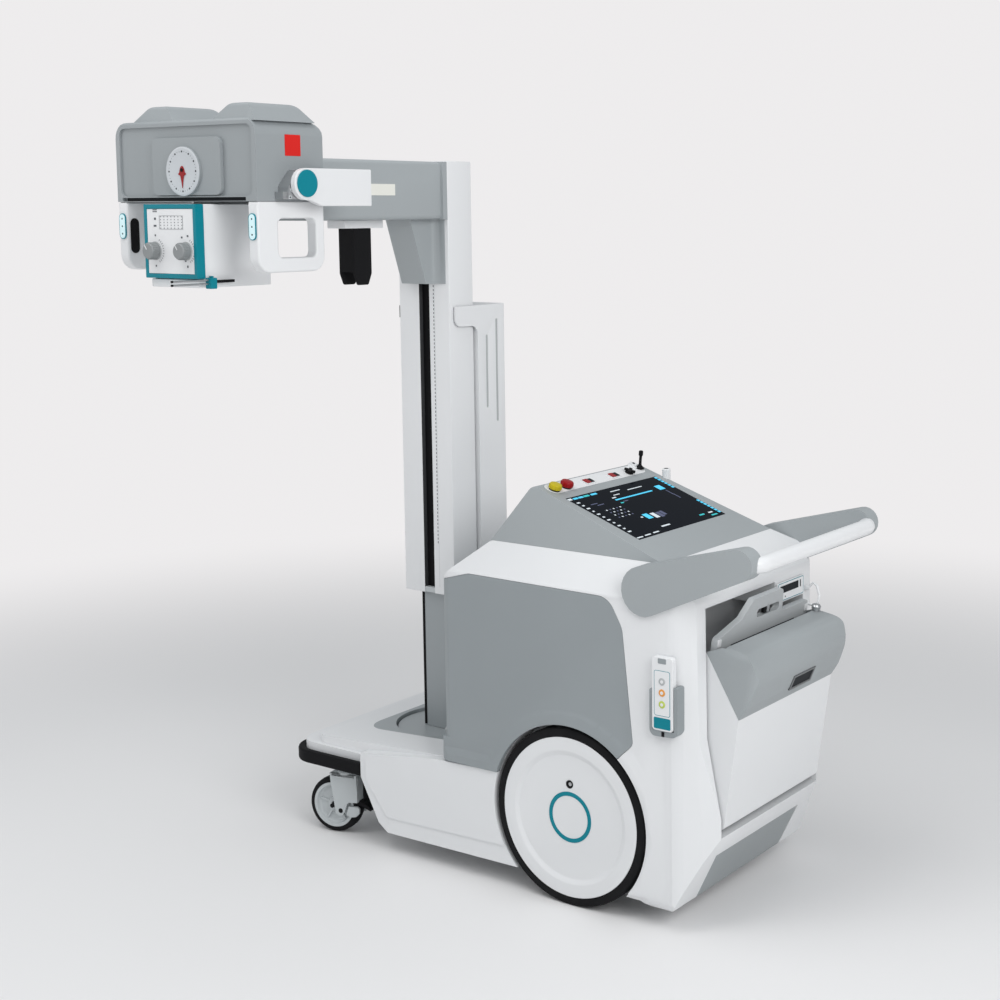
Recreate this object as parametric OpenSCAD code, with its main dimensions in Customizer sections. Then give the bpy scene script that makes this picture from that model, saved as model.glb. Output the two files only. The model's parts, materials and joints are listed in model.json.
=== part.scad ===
// Portable x-ray machine: a wheeled base with a console, and a turning mast
// that carries a lifting column, a carriage arm, a yoke and the tube head.
// Machine frame in millimetres: x runs rearwards from the rear axle, y runs
// to the right from the centre plane and z runs up from the floor.

/* [Base and body] */
// Width over the wheels and the body sides
body_w = 600; // [560:5:660]
// Rear axle to the nose of the bumper
nose_x = 948; // [925:1:970]
// Front of the bumper to the front wall of the deck
nose_step = 80; // [60:1:90]
// Rear axle to the front of the body
body_front_x = 395; // [380:1:410]
// Rear axle to the widest point of the rear
body_rear_x = 388; // [380:1:400]
// Height where the sides end and the hood begins
shoulder_z = 772; // [750:1:790]
// Height of the hood under the console
hood_z = 850; // [840:1:865]
// Width of the hood under the console
hood_w = 492; // [480:1:510]
// Height of the deck at the nose
deck_z = 262; // [255:1:268]
// Rise of the deck towards the body
deck_rise = 24; // [10:1:28]
// Ground clearance of the side skirts
skirt_z = 56; // [45:1:80]
// Height of the underside of the nose
nose_under_z = 187; // [180:1:195]
// Thickness of the skirts and of the outer cladding
wall = 8; // [6:1:10]
// How far the lip round the wheel arch stands out
lip_out = 6; // [3:0.5:7]
// Width of the flat of that lip
lip_w = 21; // [15:1:26]

/* [Wheels] */
// Radius of a rear wheel
wheel_r = 217.5; // [205:0.5:222]
// Width of a rear wheel
wheel_w = 50; // [40:1:56]
// Thickness of the rear tyre
tyre_t = 22; // [15:1:30]
// Gap between the wheel and its arch
arch_gap = 9; // [7:1:14]
// Radius of the rear axle
axle_r = 20; // [14:1:26]
// Radius of a caster wheel
caster_r = 75; // [62:1:78]
// Width of a caster wheel
caster_w = 40; // [30:1:46]
// Trail of a caster
caster_trail = 38; // [25:1:45]
// Rear axle to the caster pivots
caster_x = 775; // [765:1:785]
// Side of the base to each caster pivot
caster_inset = 60; // [55:1:85]
// Angle at which the casters stand
caster_turn = 12; // [0:1:30]

/* [Console and handle] */
// Slope of the console face in degrees
console_slope = 19.7; // [16:0.1:22]
// Length of the console face
console_len = 424; // [410:1:430]
// Width of the screen
screen_w = 386; // [360:1:400]
// Height of the screen
screen_h = 227; // [210:1:235]
// Diameter of the push handle
handle_d = 38; // [30:1:44]
// Height of the push handle
handle_z = 882; // [870:1:895]
// Rear axle to the push handle
handle_x = 503; // [490:1:515]

/* [Detector bin] */
// Width of the bin
bin_w = 446; // [430:1:448]
// Depth of the bin at its side walls
bin_depth = 106; // [102:1:108]
// Height of the bin front up to its hood
door_h = 268; // [262:1:274]
// Height of the bin's side walls at the back
bin_side_h = 400; // [392:1:404]
// Lean of the bin front in degrees
bin_lean = 8.2; // [6:0.1:9]
// Width of the flat detector
detector_w = 424; // [400:1:430]
// Thickness of the flat detector
detector_t = 16; // [12:1:18]
// Height of the detector's shoulder
detector_h = 440; // [430:1:440]
// Height of the detector with its carrying handle
detector_top = 498; // [480:1:498]

/* [Mast] */
// Rear axle to the mast axis
mast_x = 637; // [630:1:645]
// Radius of the turntable
turntable_r = 133; // [125:1:135]
// Width of the fixed inner column
inner_w = 84; // [76:1:90]
// Depth of the fixed inner column
inner_d = 70; // [60:1:72]
// Width of the outer column
column_w = 174; // [168:1:180]
// Depth of the outer column
column_d = 95; // [92:1:100]
// Wall of the outer column
column_wall = 8; // [5:1:9]
// Height of the top of the outer column
column_top = 1777; // [1700:1:1850]
// Height of the foot of the outer column
column_foot = 634; // [620:1:660]
// Width of the slot in the outer column
slot_w = 35; // [28:1:38]
// Height of the top of the tower cover
tower_top = 1402; // [1300:1:1430]
// Depth of the tower cover
tower_d = 114; // [90:1:120]

/* [Arm and yoke] */
// Width of the arm housing
arm_w = 154; // [140:1:166]
// Height of the arm housing
arm_h = 147; // [140:1:155]
// Mast axis to the end of the arm housing
arm_reach = 505; // [480:1:507]
// Height of the carriage gusset under the arm
gusset_h = 166; // [150:1:180]
// Wall of the arm housing
arm_wall = 9; // [6:1:12]
// Thickness of the yoke arm
yoke_t = 41; // [34:1:44]
// Height of the yoke arm
yoke_h = 82; // [76:1:86]

/* [Tube head] */
// Width of the tube head
head_w = 456; // [440:1:460]
// Depth of the tube head
head_d = 198; // [190:1:202]
// Height of the tube head housing
head_h = 178; // [170:1:185]
// End of the arm housing to the tilt axis of the head
tilt_out = 226; // [222:1:232]
// Height of the tilt axis
tilt_z = 1711; // [1706:1:1716]
// Height of the humps on the head
hump_h = 34; // [20:1:36]
// Width of a grip
grip_w = 30; // [24:1:34]
// Height of a grip below the housing
grip_h = 155; // [140:1:165]

/* [Collimator] */
// Width of the collimator
coll_w = 164; // [150:1:175]
// Depth of the collimator
coll_d = 200; // [180:1:205]
// Height of the collimator
coll_h = 182; // [165:1:190]
// Thickness of the teal frame
frame_t = 23; // [15:1:28]
// Diameter of a collimator knob
knob_d = 38; // [28:1:40]
// How far the knobs stand out of the panel
knob_reach = 22; // [14:1:26]
// How far the measuring rods reach ahead of the collimator
rod_reach = 77; // [40:1:90]

/* [Hidden] */
$fn = 64;

fit = 0.05;                 // radial clearance of pins in their bores
seam = 0.3;                 // gap between pieces that lie side by side
run = 5;                    // clearance between pieces that move apart
half_w = body_w / 2;
caster_y = half_w - caster_inset;
tilt_y = arm_reach + tilt_out;
pad_proud = 8;              // the handle pads stand this far out of the sides
pad_y = half_w + pad_proud;
base_rear_x = 150;          // the base ends this far ahead of the axle
joint_z = 290;              // the body stands on the base at this height
hinge_z = 243;              // height of the bin's hinge
head_x = -mast_x;
column_y0 = -60;            // front face of the column, from the mast axis
column_y1 = column_y0 + column_d;
inner_y0 = -45;
inner_top = column_top - 337;
column_travel = 320;
arm_top = column_top - 2;
arm_z0 = arm_top - arm_h;
head_off = 6;               // the head's middle stands this far ahead of the mast axis
head_left = head_x - head_w / 2 - head_off;
head_right = head_x + head_w / 2 - head_off;
head_y0 = -tilt_y - head_d / 2 - 2;
head_y1 = head_y0 + head_d;
head_z0 = tilt_z - 38;
head_z1 = head_z0 + head_h;
yoke_z0 = tilt_z - 49;
yoke_x0 = head_right + 7;
yoke_x1 = yoke_x0 + yoke_t;
yoke_back_y = -tilt_y + 196;
yoke_plate_t = 24;
roll_z = yoke_z0 + yoke_h / 2;
pin_r = 16;
roll_r = 25;
coll_y0 = -tilt_y - 152;
coll_z1 = head_z0 - 6;
coll_z0 = coll_z1 - coll_h;

// the whole machine stands on the middle of its bounding box
to_origin = [(nose_x - handle_x - handle_d / 2) / 2,
             (-(coll_y0 - rod_reach) - half_w - pad_proud) / 2, 0];

white = [0.9, 0.9, 0.9];
grey = [0.6, 0.63, 0.65];
dark = [0.1, 0.1, 0.1];
teal = [0, 0.53, 0.6];
steel = [0.75, 0.76, 0.78];

function unit(v) = v / norm(v);
// corner points of an outline whose rows are [x, y, corner radius]
function rounded(rows, steps = 6) = [
    for (i = [0 : len(rows) - 1])
        let (n = len(rows),
             here = [rows[i][0], rows[i][1]],
             back = [rows[(i + n - 1) % n][0], rows[(i + n - 1) % n][1]],
             next = [rows[(i + 1) % n][0], rows[(i + 1) % n][1]],
             a = unit(back - here), b = unit(next - here),
             r = rows[i][2],
             half = acos(max(-1, min(1, a * b))) / 2)
        each r <= 0 || half > 89.5 ? [here] :
            let (mid = here + unit(a + b) * r / sin(half),
                 p = here + a * r / tan(half), q = here + b * r / tan(half),
                 a0 = atan2(p[1] - mid[1], p[0] - mid[0]),
                 turn = atan2(q[1] - mid[1], q[0] - mid[0]) - a0,
                 sweep = turn > 180 ? turn - 360 : turn < -180 ? turn + 360 : turn)
            [for (k = [0 : steps]) mid + r * [cos(a0 + sweep * k / steps), sin(a0 + sweep * k / steps)]]
];
// a rectangle with rounded corners, from its limits
function box_rows(x0, x1, y0, y1, r) = [[x0, y0, r], [x1, y0, r], [x1, y1, r], [x0, y1, r]];

// outline in x and z, running along y
module slab_y(points, y0, y1)
    translate([0, y1, 0]) rotate([90, 0, 0]) linear_extrude(y1 - y0) polygon(points);
// outline in y and z, running along x
module slab_x(points, x0, x1)
    translate([x0, 0, 0]) rotate([90, 0, 90]) linear_extrude(x1 - x0) polygon(points);
// outline in x and y, running along z
module slab_z(points, z0, z1)
    translate([0, 0, z0]) linear_extrude(z1 - z0) polygon(points);
module block(x, y, z)
    translate([x[0], y[0], z[0]]) cube([x[1] - x[0], y[1] - y[0], z[1] - z[0]]);
// a round bar along y
module bar_y(x, y, z, r)
    translate([x, y[1], z]) rotate([90, 0, 0]) cylinder(r = r, h = y[1] - y[0]);
// a round bar along x
module bar_x(x, y, z, r)
    translate([x[0], y, z]) rotate([0, 90, 0]) cylinder(r = r, h = x[1] - x[0]);

// base
deck_x = nose_x - nose_step;
nose_r = 78;                // corners of the bumper
deck_outline = rounded([
    [-deck_x, -half_w + 28, 44], [-base_rear_x, -half_w + 28, 0],
    [-base_rear_x, half_w - 28, 0], [-deck_x, half_w - 28, 44]]);
ledge_outline = rounded([
    [-nose_x + 22, -half_w + 20, nose_r - 20], [-base_rear_x, -half_w + 20, 0],
    [-base_rear_x, half_w - 20, 0], [-nose_x + 22, half_w - 20, nose_r - 20]]);
skirt_front_x = 678;
// panel that stands 3 mm proud on each skirt
skirt_panel = rounded([
    [-skirt_front_x + 22, deck_z - 12, 14], [-skirt_front_x + 22, nose_under_z - 4, 20],
    [-skirt_front_x + 92, skirt_z + 40, 16], [-base_rear_x, skirt_z + 50, 0],
    [-base_rear_x, joint_z, 0], [-body_front_x - 20, joint_z - 6, 0]]);
skirt_side = rounded([
    [-skirt_front_x, nose_under_z, 12], [-skirt_front_x + 60, skirt_z + 20, 12],
    [-skirt_front_x + 91, skirt_z - 2, 12], [-base_rear_x, skirt_z + 2, 0],
    [-base_rear_x, joint_z, 0], [-body_front_x - 20, joint_z - 6, 0],
    [-skirt_front_x, deck_z - 10, 10]]);

module wheel_arches()
    for (side = [-1, 1])
        bar_y(0, side < 0 ? [-half_w - 20, -half_w + wheel_w + 12] : [half_w - wheel_w - 12, half_w + 20],
              wheel_r, wheel_r + arch_gap);

module chassis_base() color(white)
    difference() {
        union() {
            intersection() {
                slab_z(deck_outline, nose_under_z, joint_z);
                slab_y([[-nose_x, nose_under_z], [-base_rear_x, nose_under_z],
                        [-base_rear_x, joint_z], [-body_front_x, joint_z - 4],
                        [-deck_x + 14, deck_z], [-deck_x, deck_z - 12],
                        [-nose_x, deck_z - 16]], -half_w, half_w);
            }
            slab_z(ledge_outline, nose_under_z, deck_z - 22);
            slab_y(skirt_side, -half_w + 3, half_w - 3);
            slab_y(skirt_panel, -half_w, half_w);
        }
        // open underside between the skirts
        block([-skirt_front_x - 1, -base_rear_x - 20], [-half_w + 40, half_w - 40], [0, 120]);
        wheel_arches();
        translate([-mast_x, 0, tub_z - 2]) cylinder(r = tub_r, h = joint_z);
        slab_z(tray_outline(0), deck_z - 2, joint_z + 10);
        for (side = [-1, 1])
            translate([-caster_x, side * caster_y, nose_under_z - 1]) cylinder(r = 14 + fit, h = 31);
    }

function tray_outline(gap) = rounded(box_rows(
    -mast_x - 153 + gap, -base_rear_x - 20 - gap, -165 + gap, 165 - gap, 62));

// the tub that holds the turntable hangs from the tray
tub_z = 120.3;
tub_floor = 190;
tub_r = turntable_r + run + 2;
spigot_r = 40;
module deck_tray() color(grey)
    difference() {
        union() {
            slab_z(tray_outline(seam), deck_z - 1.7, deck_z + 4);
            translate([-mast_x, 0, tub_z]) cylinder(r = tub_r - seam, h = deck_z - tub_z);
        }
        translate([-mast_x, 0, tub_floor]) cylinder(r = turntable_r + run, h = joint_z);
        translate([-mast_x, 0, tub_z - 1]) cylinder(r = spigot_r + fit, h = tub_floor);
        block([-body_front_x, 0], [-half_w, half_w], [deck_z - 10, joint_z + 10]);
    }

module bumper() color(dark)
    difference() {
        slab_z(rounded([[-nose_x, -half_w, nose_r], [-skirt_front_x - 1, -half_w, 0],
                        [-skirt_front_x - 1, half_w, 0], [-nose_x, half_w, nose_r]], 10),
               nose_under_z, nose_under_z + 34);
        slab_z(rounded([[-nose_x + 22 - seam, -half_w + 20 - seam, nose_r - 20], [0, -half_w + 20 - seam, 0],
                        [0, half_w - 20 + seam, 0], [-nose_x + 22 - seam, half_w - 20 + seam, nose_r - 20]]),
               nose_under_z - 1, nose_under_z + 35);
    }

bay_top = 756;              // left of the reader plate
bay_top_right = 699;        // under the reader plate
bay_step_y = 88;
bay_floor = hinge_z - 18;
bay_x = 215;                // depth of the bay
kick_x0 = 292;              // lower edge of the panel between the feet
kick_x1 = 348;              // upper edge of the same panel
kick_z0 = 52;
kick_z1 = 166;
foot_bottom = 42;
kick_w = 392;
// body: three outlines meet, inset draws the surface under the cladding
rear_rows = [[312, 822, 30], [338, shoulder_z, 30], [343, 454, 0], [body_rear_x, 235, 25],
             [kick_x1, kick_z1, 16], [kick_x0, kick_z0, 20], [272, foot_bottom, 10], [224, foot_bottom, 14],
             [200, skirt_z + 2, 0]];
module body_form(inset = 0)
    intersection() {
        slab_y(rounded(concat(
            [[-base_rear_x, skirt_z + 2, 0], [-base_rear_x, joint_z, 0],
             [-body_front_x + inset, joint_z, 0],
             [-body_front_x + inset, hood_z - 102 - inset * 0.6, 22],
             [-body_front_x + 127, hood_z, 24], [236, hood_z, 6]], rear_rows)), -half_w, half_w);
        slab_x(rounded([[-half_w + inset, foot_bottom - 2, 40], [-half_w + inset, shoulder_z - inset * 0.6, 24],
                        [-hood_w / 2, hood_z, 0], [-hood_w / 2 + 20, hood_z + 29, 0],
                        [hood_w / 2 - 20, hood_z + 29, 0], [hood_w / 2, hood_z, 0],
                        [half_w - inset, shoulder_z - inset * 0.6, 24], [half_w - inset, foot_bottom - 2, 40]]),
               -body_front_x - 1, 410);
        slab_z(rounded([[-body_front_x + inset, -half_w + inset, 34], [300, -half_w + inset, 60],
                        [396, -215, 12], [396, 215, 12], [300, half_w - inset, 60],
                        [-body_front_x + inset, half_w - inset, 34]]), 0, hood_z + 40);
    }

// side outline of the cladding; grow widens it for the seam
function cladding_rows(grow) = [
    [-body_front_x - 13, joint_z - grow, 0], [-body_front_x - 13, 742 + grow, 0],
    [-300, shoulder_z + grow, 30], [120, shoulder_z - 4 + grow, 50], [158 + grow, 700, 60],
    [186 + grow, 430, 20], [150 + grow, 395 - grow, 0], [0, joint_z - grow, 0]];

// lip round the wheel arches: a flat ring that slopes back into the side
module arch_lip()
    for (side = [-1, 1])
        translate([0, side * (half_w - 4), wheel_r]) rotate([-90 * side, 0, 0]) {
            cylinder(r = wheel_r + arch_gap + lip_w, h = 4 + lip_out);
            cylinder(r1 = wheel_r + arch_gap + lip_w + 30, r2 = wheel_r + arch_gap + lip_w, h = 4 + lip_out);
        }

module body_shell() color(white)
    difference() {
        union() {
            difference() {
                body_form();
                slab_y(rounded(cladding_rows(1)), -half_w - 1, half_w + 1);
            }
            body_form(wall);
            difference() {
                arch_lip();
                slab_y(rounded(cladding_rows(1)), -half_w - 20, half_w + 20);
                block([-half_w, body_rear_x], [-half_w - 20, half_w + 20], [-wheel_r, foot_bottom + 30]);
                block([-half_w, 100], [-half_w - 20, half_w + 20], [-wheel_r, joint_z]);
            }
        }
        wheel_arches();
        bar_y(0, [-half_w, half_w], wheel_r, axle_r + fit);
        // bay of the detector bin
        block([bay_x, bay_x + 200], [-bin_w / 2 - run, bin_w / 2 + run], [bay_floor, bay_top_right]);
        block([bay_x, bay_x + 200], [-bin_w / 2 - run, bay_step_y], [bay_floor, bay_top]);
        lean() bar_y(pin_x, [-pin_reach - 1, pin_reach + 1], pin_z, hinge_r + fit);
        // seat of the lower rear panel
        kick_block(0);
        // floor opening under the body, between the wheels
        block([-base_rear_x - 1, 190], [-half_w + 80, half_w - 80], [0, 120]);
    }

// the foot of the cladding flares over the base: outline in y and z on one side
function flare_rows(side) = [
    [side * (half_w - 60), joint_z, 0], [side * (half_w + lip_out), joint_z, 0],
    [side * (half_w + lip_out), joint_z + 18, 8], [side * half_w, joint_z + 36, 14],
    [side * half_w, joint_z + 60, 0], [side * (half_w - 60), joint_z + 60, 0]];
module cladding(side) color(grey)
    intersection() {
        difference() {
            union() {
                body_form();
                arch_lip();
                intersection() {
                    slab_x(rounded(flare_rows(side)), -body_front_x - 20, -wheel_r + 40);
                    slab_z(rounded(box_rows(-body_front_x - 12, 0, -half_w - lip_out, half_w + lip_out, 44)),
                           joint_z, joint_z + 60);
                    slab_y(rounded([[-body_front_x - 12, joint_z, 0], [-body_front_x - 12, joint_z + 18, 8],
                                    [-body_front_x, joint_z + 40, 14], [-body_front_x, joint_z + 61, 0],
                                    [0, joint_z + 61, 0], [0, joint_z, 0]]), -half_w - 20, half_w + 20);
                }
            }
            body_form(wall);
            wheel_arches();
        }
        slab_y(rounded(cladding_rows(0)), -half_w - 20, half_w + 20);
        block([-body_front_x - 13, body_rear_x], side < 0 ? [-half_w - 20, -seam / 2] : [seam / 2, half_w + 20],
              [0, hood_z]);
    }
module left_cladding() cladding(-1);
module right_cladding() cladding(1);

// grey panel low on the rear, between the two fender feet
module kick_block(gap)
    slab_y([[kick_x0 - 30 + gap, kick_z0], [kick_x1 - 30 + gap, kick_z1 - gap],
            [kick_x1 + 22, kick_z1 - gap], [kick_x1 + 22, kick_z0 + gap]], -kick_w / 2 + gap, kick_w / 2 - gap);
module kick_panel() color(grey)
    intersection() {
        kick_block(seam);
        slab_x(rounded(box_rows(-kick_w / 2, kick_w / 2, kick_z0 - 10, kick_z1, 20)), kick_x0 - 60, kick_x1 + 40);
        slab_y([[kick_x0 - 52, kick_z0 - 2], [kick_x0 - 1, kick_z0], [kick_x1 - 1, kick_z1],
                [kick_x0 - 52, kick_z1 + 4]], -half_w, half_w);
    }

// console
console_x1 = 236;
console_drop = console_len * sin(console_slope);
console_run = console_len * cos(console_slope);
// places children on the sloping face: up is the distance from its rear edge
module on_face(up, y = 0, lift = 0)
    translate([console_x1, 0, hood_z]) rotate([0, console_slope, 0])
        translate([-up, y, lift]) children();
module console() color(grey)
    difference() {
        intersection() {
            slab_y(rounded([[-body_front_x + 125, hood_z, 0], [console_x1 - console_run, hood_z + console_drop, 24],
                            [console_x1, hood_z, 0]]), -half_w, half_w);
            slab_x(rounded([[-hood_w / 2, hood_z, 0], [-213, hood_z + console_drop, 12],
                            [213, hood_z + console_drop, 12], [hood_w / 2, hood_z, 0]]), -400, 400);
        }
        on_face(108 + screen_h / 2) block([-screen_h / 2 - seam, screen_h / 2 + seam],
            [-screen_w / 2 - seam, screen_w / 2 + seam], [-5, 20]);
    }
module screen() color([0.03, 0.04, 0.06])
    on_face(108 + screen_h / 2) block([-screen_h / 2, screen_h / 2], [-screen_w / 2, screen_w / 2], [-4.7, 0.3]);
module control_strip() color(white)
    on_face(386) linear_extrude(1.2) polygon(rounded(box_rows(-23, 23, -200, 200, 20)));
// columns: place across the strip, radius
module console_buttons() color([0.8, 0.1, 0.1])
    for (place = [-160, -108])
        on_face(386, place, 1.5) {
            cylinder(r = 17, h = 6);
            translate([0, 0, 6]) cylinder(r = 20, h = 14);
        }
module console_switches() color(dark) {
    for (place = [-20, 60])
        on_face(386, place, 1.5) block([-9, 9], [-13, 13], [0, 5]);
    on_face(386, 112, 1.5) cylinder(r = 13, h = 8);
    on_face(386, 160, 1.5) {
        cylinder(r = 9, h = 8);
        cylinder(r = 3.5, h = 48);
    }
}

// handle
pad_front = [220, 796, 58];     // x, z and radius of the front end of a pad
pad_rear = [470, 884, 36];      // x, z and radius of the rear end of a pad
pad_t = 46;
// outline of a belt round the two ends of a pad
function pad_outline() =
    let (d = [pad_rear[0] - pad_front[0], pad_rear[1] - pad_front[1]],
         heading = atan2(d[1], d[0]),
         lean = acos((pad_front[2] - pad_rear[2]) / norm(d)))
    concat([for (k = [0 : 12]) let (t = heading + lean + (360 - 2 * lean) * k / 12)
                [pad_front[0] + pad_front[2] * cos(t), pad_front[1] + pad_front[2] * sin(t)]],
           [for (k = [0 : 10]) let (t = heading - lean + 2 * lean * k / 10)
                [pad_rear[0] + pad_rear[2] * cos(t), pad_rear[1] + pad_rear[2] * sin(t)]]);
bend_r = 44;
handle_y = pad_y - pad_t / 2;
module handle_pads() color(grey)
    for (side = [-1, 1])
        difference() {
            slab_y(pad_outline(), side < 0 ? -pad_y : pad_y - pad_t, side < 0 ? -pad_y + pad_t : pad_y);
            // the pad straddles the body and takes the end of the bar
            body_form(-seam);
            handle_form(handle_d / 2 + fit);
        }
// a straight bar whose ends bend forwards into the pads
module handle_form(r) {
    bar_y(handle_x, [-handle_y + bend_r, handle_y - bend_r], handle_z, r);
    for (side = [-1, 1]) {
        translate([handle_x - bend_r, side * (handle_y - bend_r), handle_z])
            rotate([0, 0, side > 0 ? 0 : -90]) rotate_extrude(angle = 90)
                translate([bend_r, 0]) circle(r = r);
        bar_x([pad_rear[0] - 60, handle_x - bend_r], side * handle_y, handle_z, r);
    }
}
module handle_bar() color(white) handle_form(handle_d / 2);

module reader_plate() color(white)
    block([339.5, 344], [bay_step_y + 4, 226], [bay_top_right + 4, bay_top - 6]);
remote_x0 = 251;
remote_x1 = 307;
remote_z0 = 484;
remote_z1 = 655;
module remote_holder() color(grey)
    difference() {
        slab_y(rounded([[remote_x0 - 9, remote_z0 - 16, 16], [remote_x1 + 11, remote_z0 - 12, 16],
                        [remote_x1 + 11, remote_z0 + 106, 6], [remote_x0 - 9, remote_z0 + 94, 6]]),
               -half_w - 14, -half_w + 30);
        slab_y(rounded(box_rows(remote_x0 - 1, remote_x1 + 1, remote_z0, remote_z1, 0)), -half_w - 15, -half_w + 40);
        body_form(-seam);
    }
module remote() color(white)
    slab_y(rounded(box_rows(remote_x0, remote_x1, remote_z0 + seam, remote_z1, 8)), -half_w - 17, -half_w - seam);
module rear_axle() color(steel)
    bar_y(0, [-half_w + 12, half_w - 12], wheel_r, axle_r);

// detector bin, drawn leaning as it rests
bin_front_x = 385;
module lean() translate([bin_front_x, 0, hinge_z]) rotate([0, bin_lean, 0]) children();
hinge_r = 6;
pin_x = -46;                // hinge pin from the bin's lower front edge
pin_z = 12;
pin_reach = bin_w / 2 + 18;
bin_wall = 8;
bin_half_w = bin_w / 2;
detector_x = 4 - bin_depth;  // back face of the detector
module bin_front() color(white)
    lean() difference() {
        union() {
            difference() {
                slab_y(rounded([[-bin_depth, 0, 8], [0, 0, 8], [0, door_h, 0], [-bin_depth, bin_side_h, 0]]),
                       -bin_half_w, bin_half_w);
                slab_y([[-bin_depth - 1, bin_wall], [-bin_wall, bin_wall], [-bin_wall, door_h + 30],
                        [-bin_depth - 1, bin_side_h + 50]], -bin_half_w + bin_wall, bin_half_w - bin_wall);
            }
            bar_y(pin_x, [-bin_half_w, bin_half_w], pin_z, pin_z);
        }
        bar_y(pin_x, [-bin_half_w - 1, bin_half_w + 1], pin_z, hinge_r + fit);
    }
module bin_hinge() color(steel)
    lean() bar_y(pin_x, [-pin_reach, pin_reach], pin_z, hinge_r);
module bin_hood() color(grey)
    lean() difference() {
        intersection() {
            slab_y(rounded([[0.5, door_h + seam, 0], [16, door_h + 34, 30], [34, door_h + 100, 36],
                            [8, door_h + 152, 40], [-60, door_h + 156, 30], [-bin_depth, bin_side_h + seam, 0]]),
                   -bin_half_w, bin_half_w);
            // rounded ends
            slab_z(rounded([[-bin_depth - 1, -bin_half_w, 0], [36, -bin_half_w, 28],
                            [36, bin_half_w, 28], [-bin_depth - 1, bin_half_w, 0]]), door_h, door_h + 160);
            slab_x(rounded([[-bin_half_w, door_h, 0], [bin_half_w, door_h, 0],
                            [bin_half_w, door_h + 157, 22], [-bin_half_w, door_h + 157, 22]]), -bin_depth - 1, 40);
        }
        slab_y([[-8, door_h], [4, door_h + 10], [20, door_h + 90], [0, door_h + 138], [-56, door_h + 144],
                [bin_wall + 10 - bin_depth, bin_side_h - 6]], -bin_half_w + bin_wall, bin_half_w - bin_wall);
        // the detector passes through the back of the hood
        block([-bin_depth - 4, detector_x + detector_t + 26], [-bin_half_w + bin_wall, bin_half_w - bin_wall],
              [bin_side_h - 36, bin_side_h + 40]);
        lean_window(0);
    }
// seat of the window, which lies along the hood's front
module lean_window(gap)
    translate([20.4, 26, door_h + 45]) rotate([0, 15, 0])
        block([-5 + gap, gap > 0 ? -1 : 16], [-52 + gap, 52 - gap], [-20 + gap, 20 - gap]);
module bin_window() color(dark)
    lean() lean_window(seam);
module detector() color([0.8, 0.81, 0.82])
    lean() difference() {
        slab_x(rounded([[-detector_w / 2, bin_wall + seam, 6], [detector_w / 2, bin_wall + seam, 6],
                        [detector_w / 2, detector_h, 6], [82, detector_h, 6], [76, detector_top, 12],
                        [-64, detector_top, 12], [-110, detector_top - 38, 20],
                        [-detector_w / 2, detector_h - 8, 10]]), detector_x, detector_x + detector_t);
        slab_x(rounded(box_rows(-42, 62, detector_h + 8, detector_top - 30, 8)), detector_x - 8, detector_x + 32);
    }

// wheels
module at_side(side) translate([0, side * (half_w - wheel_w / 2), wheel_r]) children();
module wheel(side) color(white)
    at_side(side) rotate([90 * side, 0, 0]) translate([0, 0, -wheel_w / 2]) difference() {
        cylinder(r = wheel_r - tyre_t, h = wheel_w);
        // dish of the outer face, the inner face is open round the hub
        translate([0, 0, -0.1]) cylinder(r1 = wheel_r - tyre_t - 32, r2 = wheel_r - tyre_t - 44, h = 6);
        difference() {
            translate([0, 0, wheel_w - 26]) cylinder(r = wheel_r - tyre_t - 12, h = 30);
            translate([0, 0, wheel_w - 30]) cylinder(r = 46, h = 40);
        }
        translate([0, 0, 12 - fit]) cylinder(r = axle_r + fit, h = 60);
    }
module tyre(side) color(dark)
    at_side(side) rotate([90, 0, 0]) rotate_extrude($fn = 96)
        polygon(rounded([[wheel_r - tyre_t, -wheel_w / 2 + 1, 0], [wheel_r - 4, -wheel_w / 2 + 1, 4],
                         [wheel_r, -wheel_w / 2 + 8, 0], [wheel_r, wheel_w / 2 - 8, 0],
                         [wheel_r - 4, wheel_w / 2 - 1, 4], [wheel_r - tyre_t, wheel_w / 2 - 1, 0]], 3));
module wheel_left() wheel(-1);
module wheel_right() wheel(1);
module tyre_left() tyre(-1);
module tyre_right() tyre(1);

// casters: the wheel stands ahead of its pivot
module at_caster(side)
    translate([-caster_x, side * caster_y, 0]) rotate([0, 0, caster_turn]) children();
fork_gap = caster_w + 8;
module caster_fork(side) color(steel)
    at_caster(side) {
        difference() {
            union() {
                translate([0, 0, caster_r * 2 + 14]) cylinder(r = 30, h = nose_under_z - caster_r * 2 - 14 - 1);
                translate([0, 0, nose_under_z - 2]) cylinder(r = 14, h = 30);
                for (face = [-1, 1])
                    slab_y(rounded([[-caster_trail - 17, caster_r - 17, 15], [-caster_trail + 17, caster_r - 17, 15],
                                    [34, caster_r + 50, 8], [34, caster_r * 2 + 20, 0],
                                    [-34, caster_r * 2 + 20, 0], [-34, caster_r + 50, 8]]),
                           face > 0 ? fork_gap / 2 : -fork_gap / 2 - 6, face > 0 ? fork_gap / 2 + 6 : -fork_gap / 2);
                block([-34, 34], [-fork_gap / 2 - 6, fork_gap / 2 + 6], [caster_r * 2 + 8, caster_r * 2 + 20]);
            }
            bar_y(-caster_trail, [-60, 60], caster_r, 6 + fit);
        }
    }
module caster_hub(side) color(white)
    at_caster(side) {
        difference() {
            bar_y(-caster_trail, [-caster_w / 2, caster_w / 2], caster_r, caster_r - 14);
            for (face = [-1, 1])
                bar_y(-caster_trail, face > 0 ? [caster_w / 2 - 6, caster_w] : [-caster_w, -caster_w / 2 + 6],
                      caster_r, caster_r - 24);
        }
        bar_y(-caster_trail, [-fork_gap / 2 - 6, fork_gap / 2 + 6], caster_r, 6);
        bar_y(-caster_trail, [-fork_gap / 2 + 0.5, fork_gap / 2 - 0.5], caster_r, 15);
    }
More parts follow.
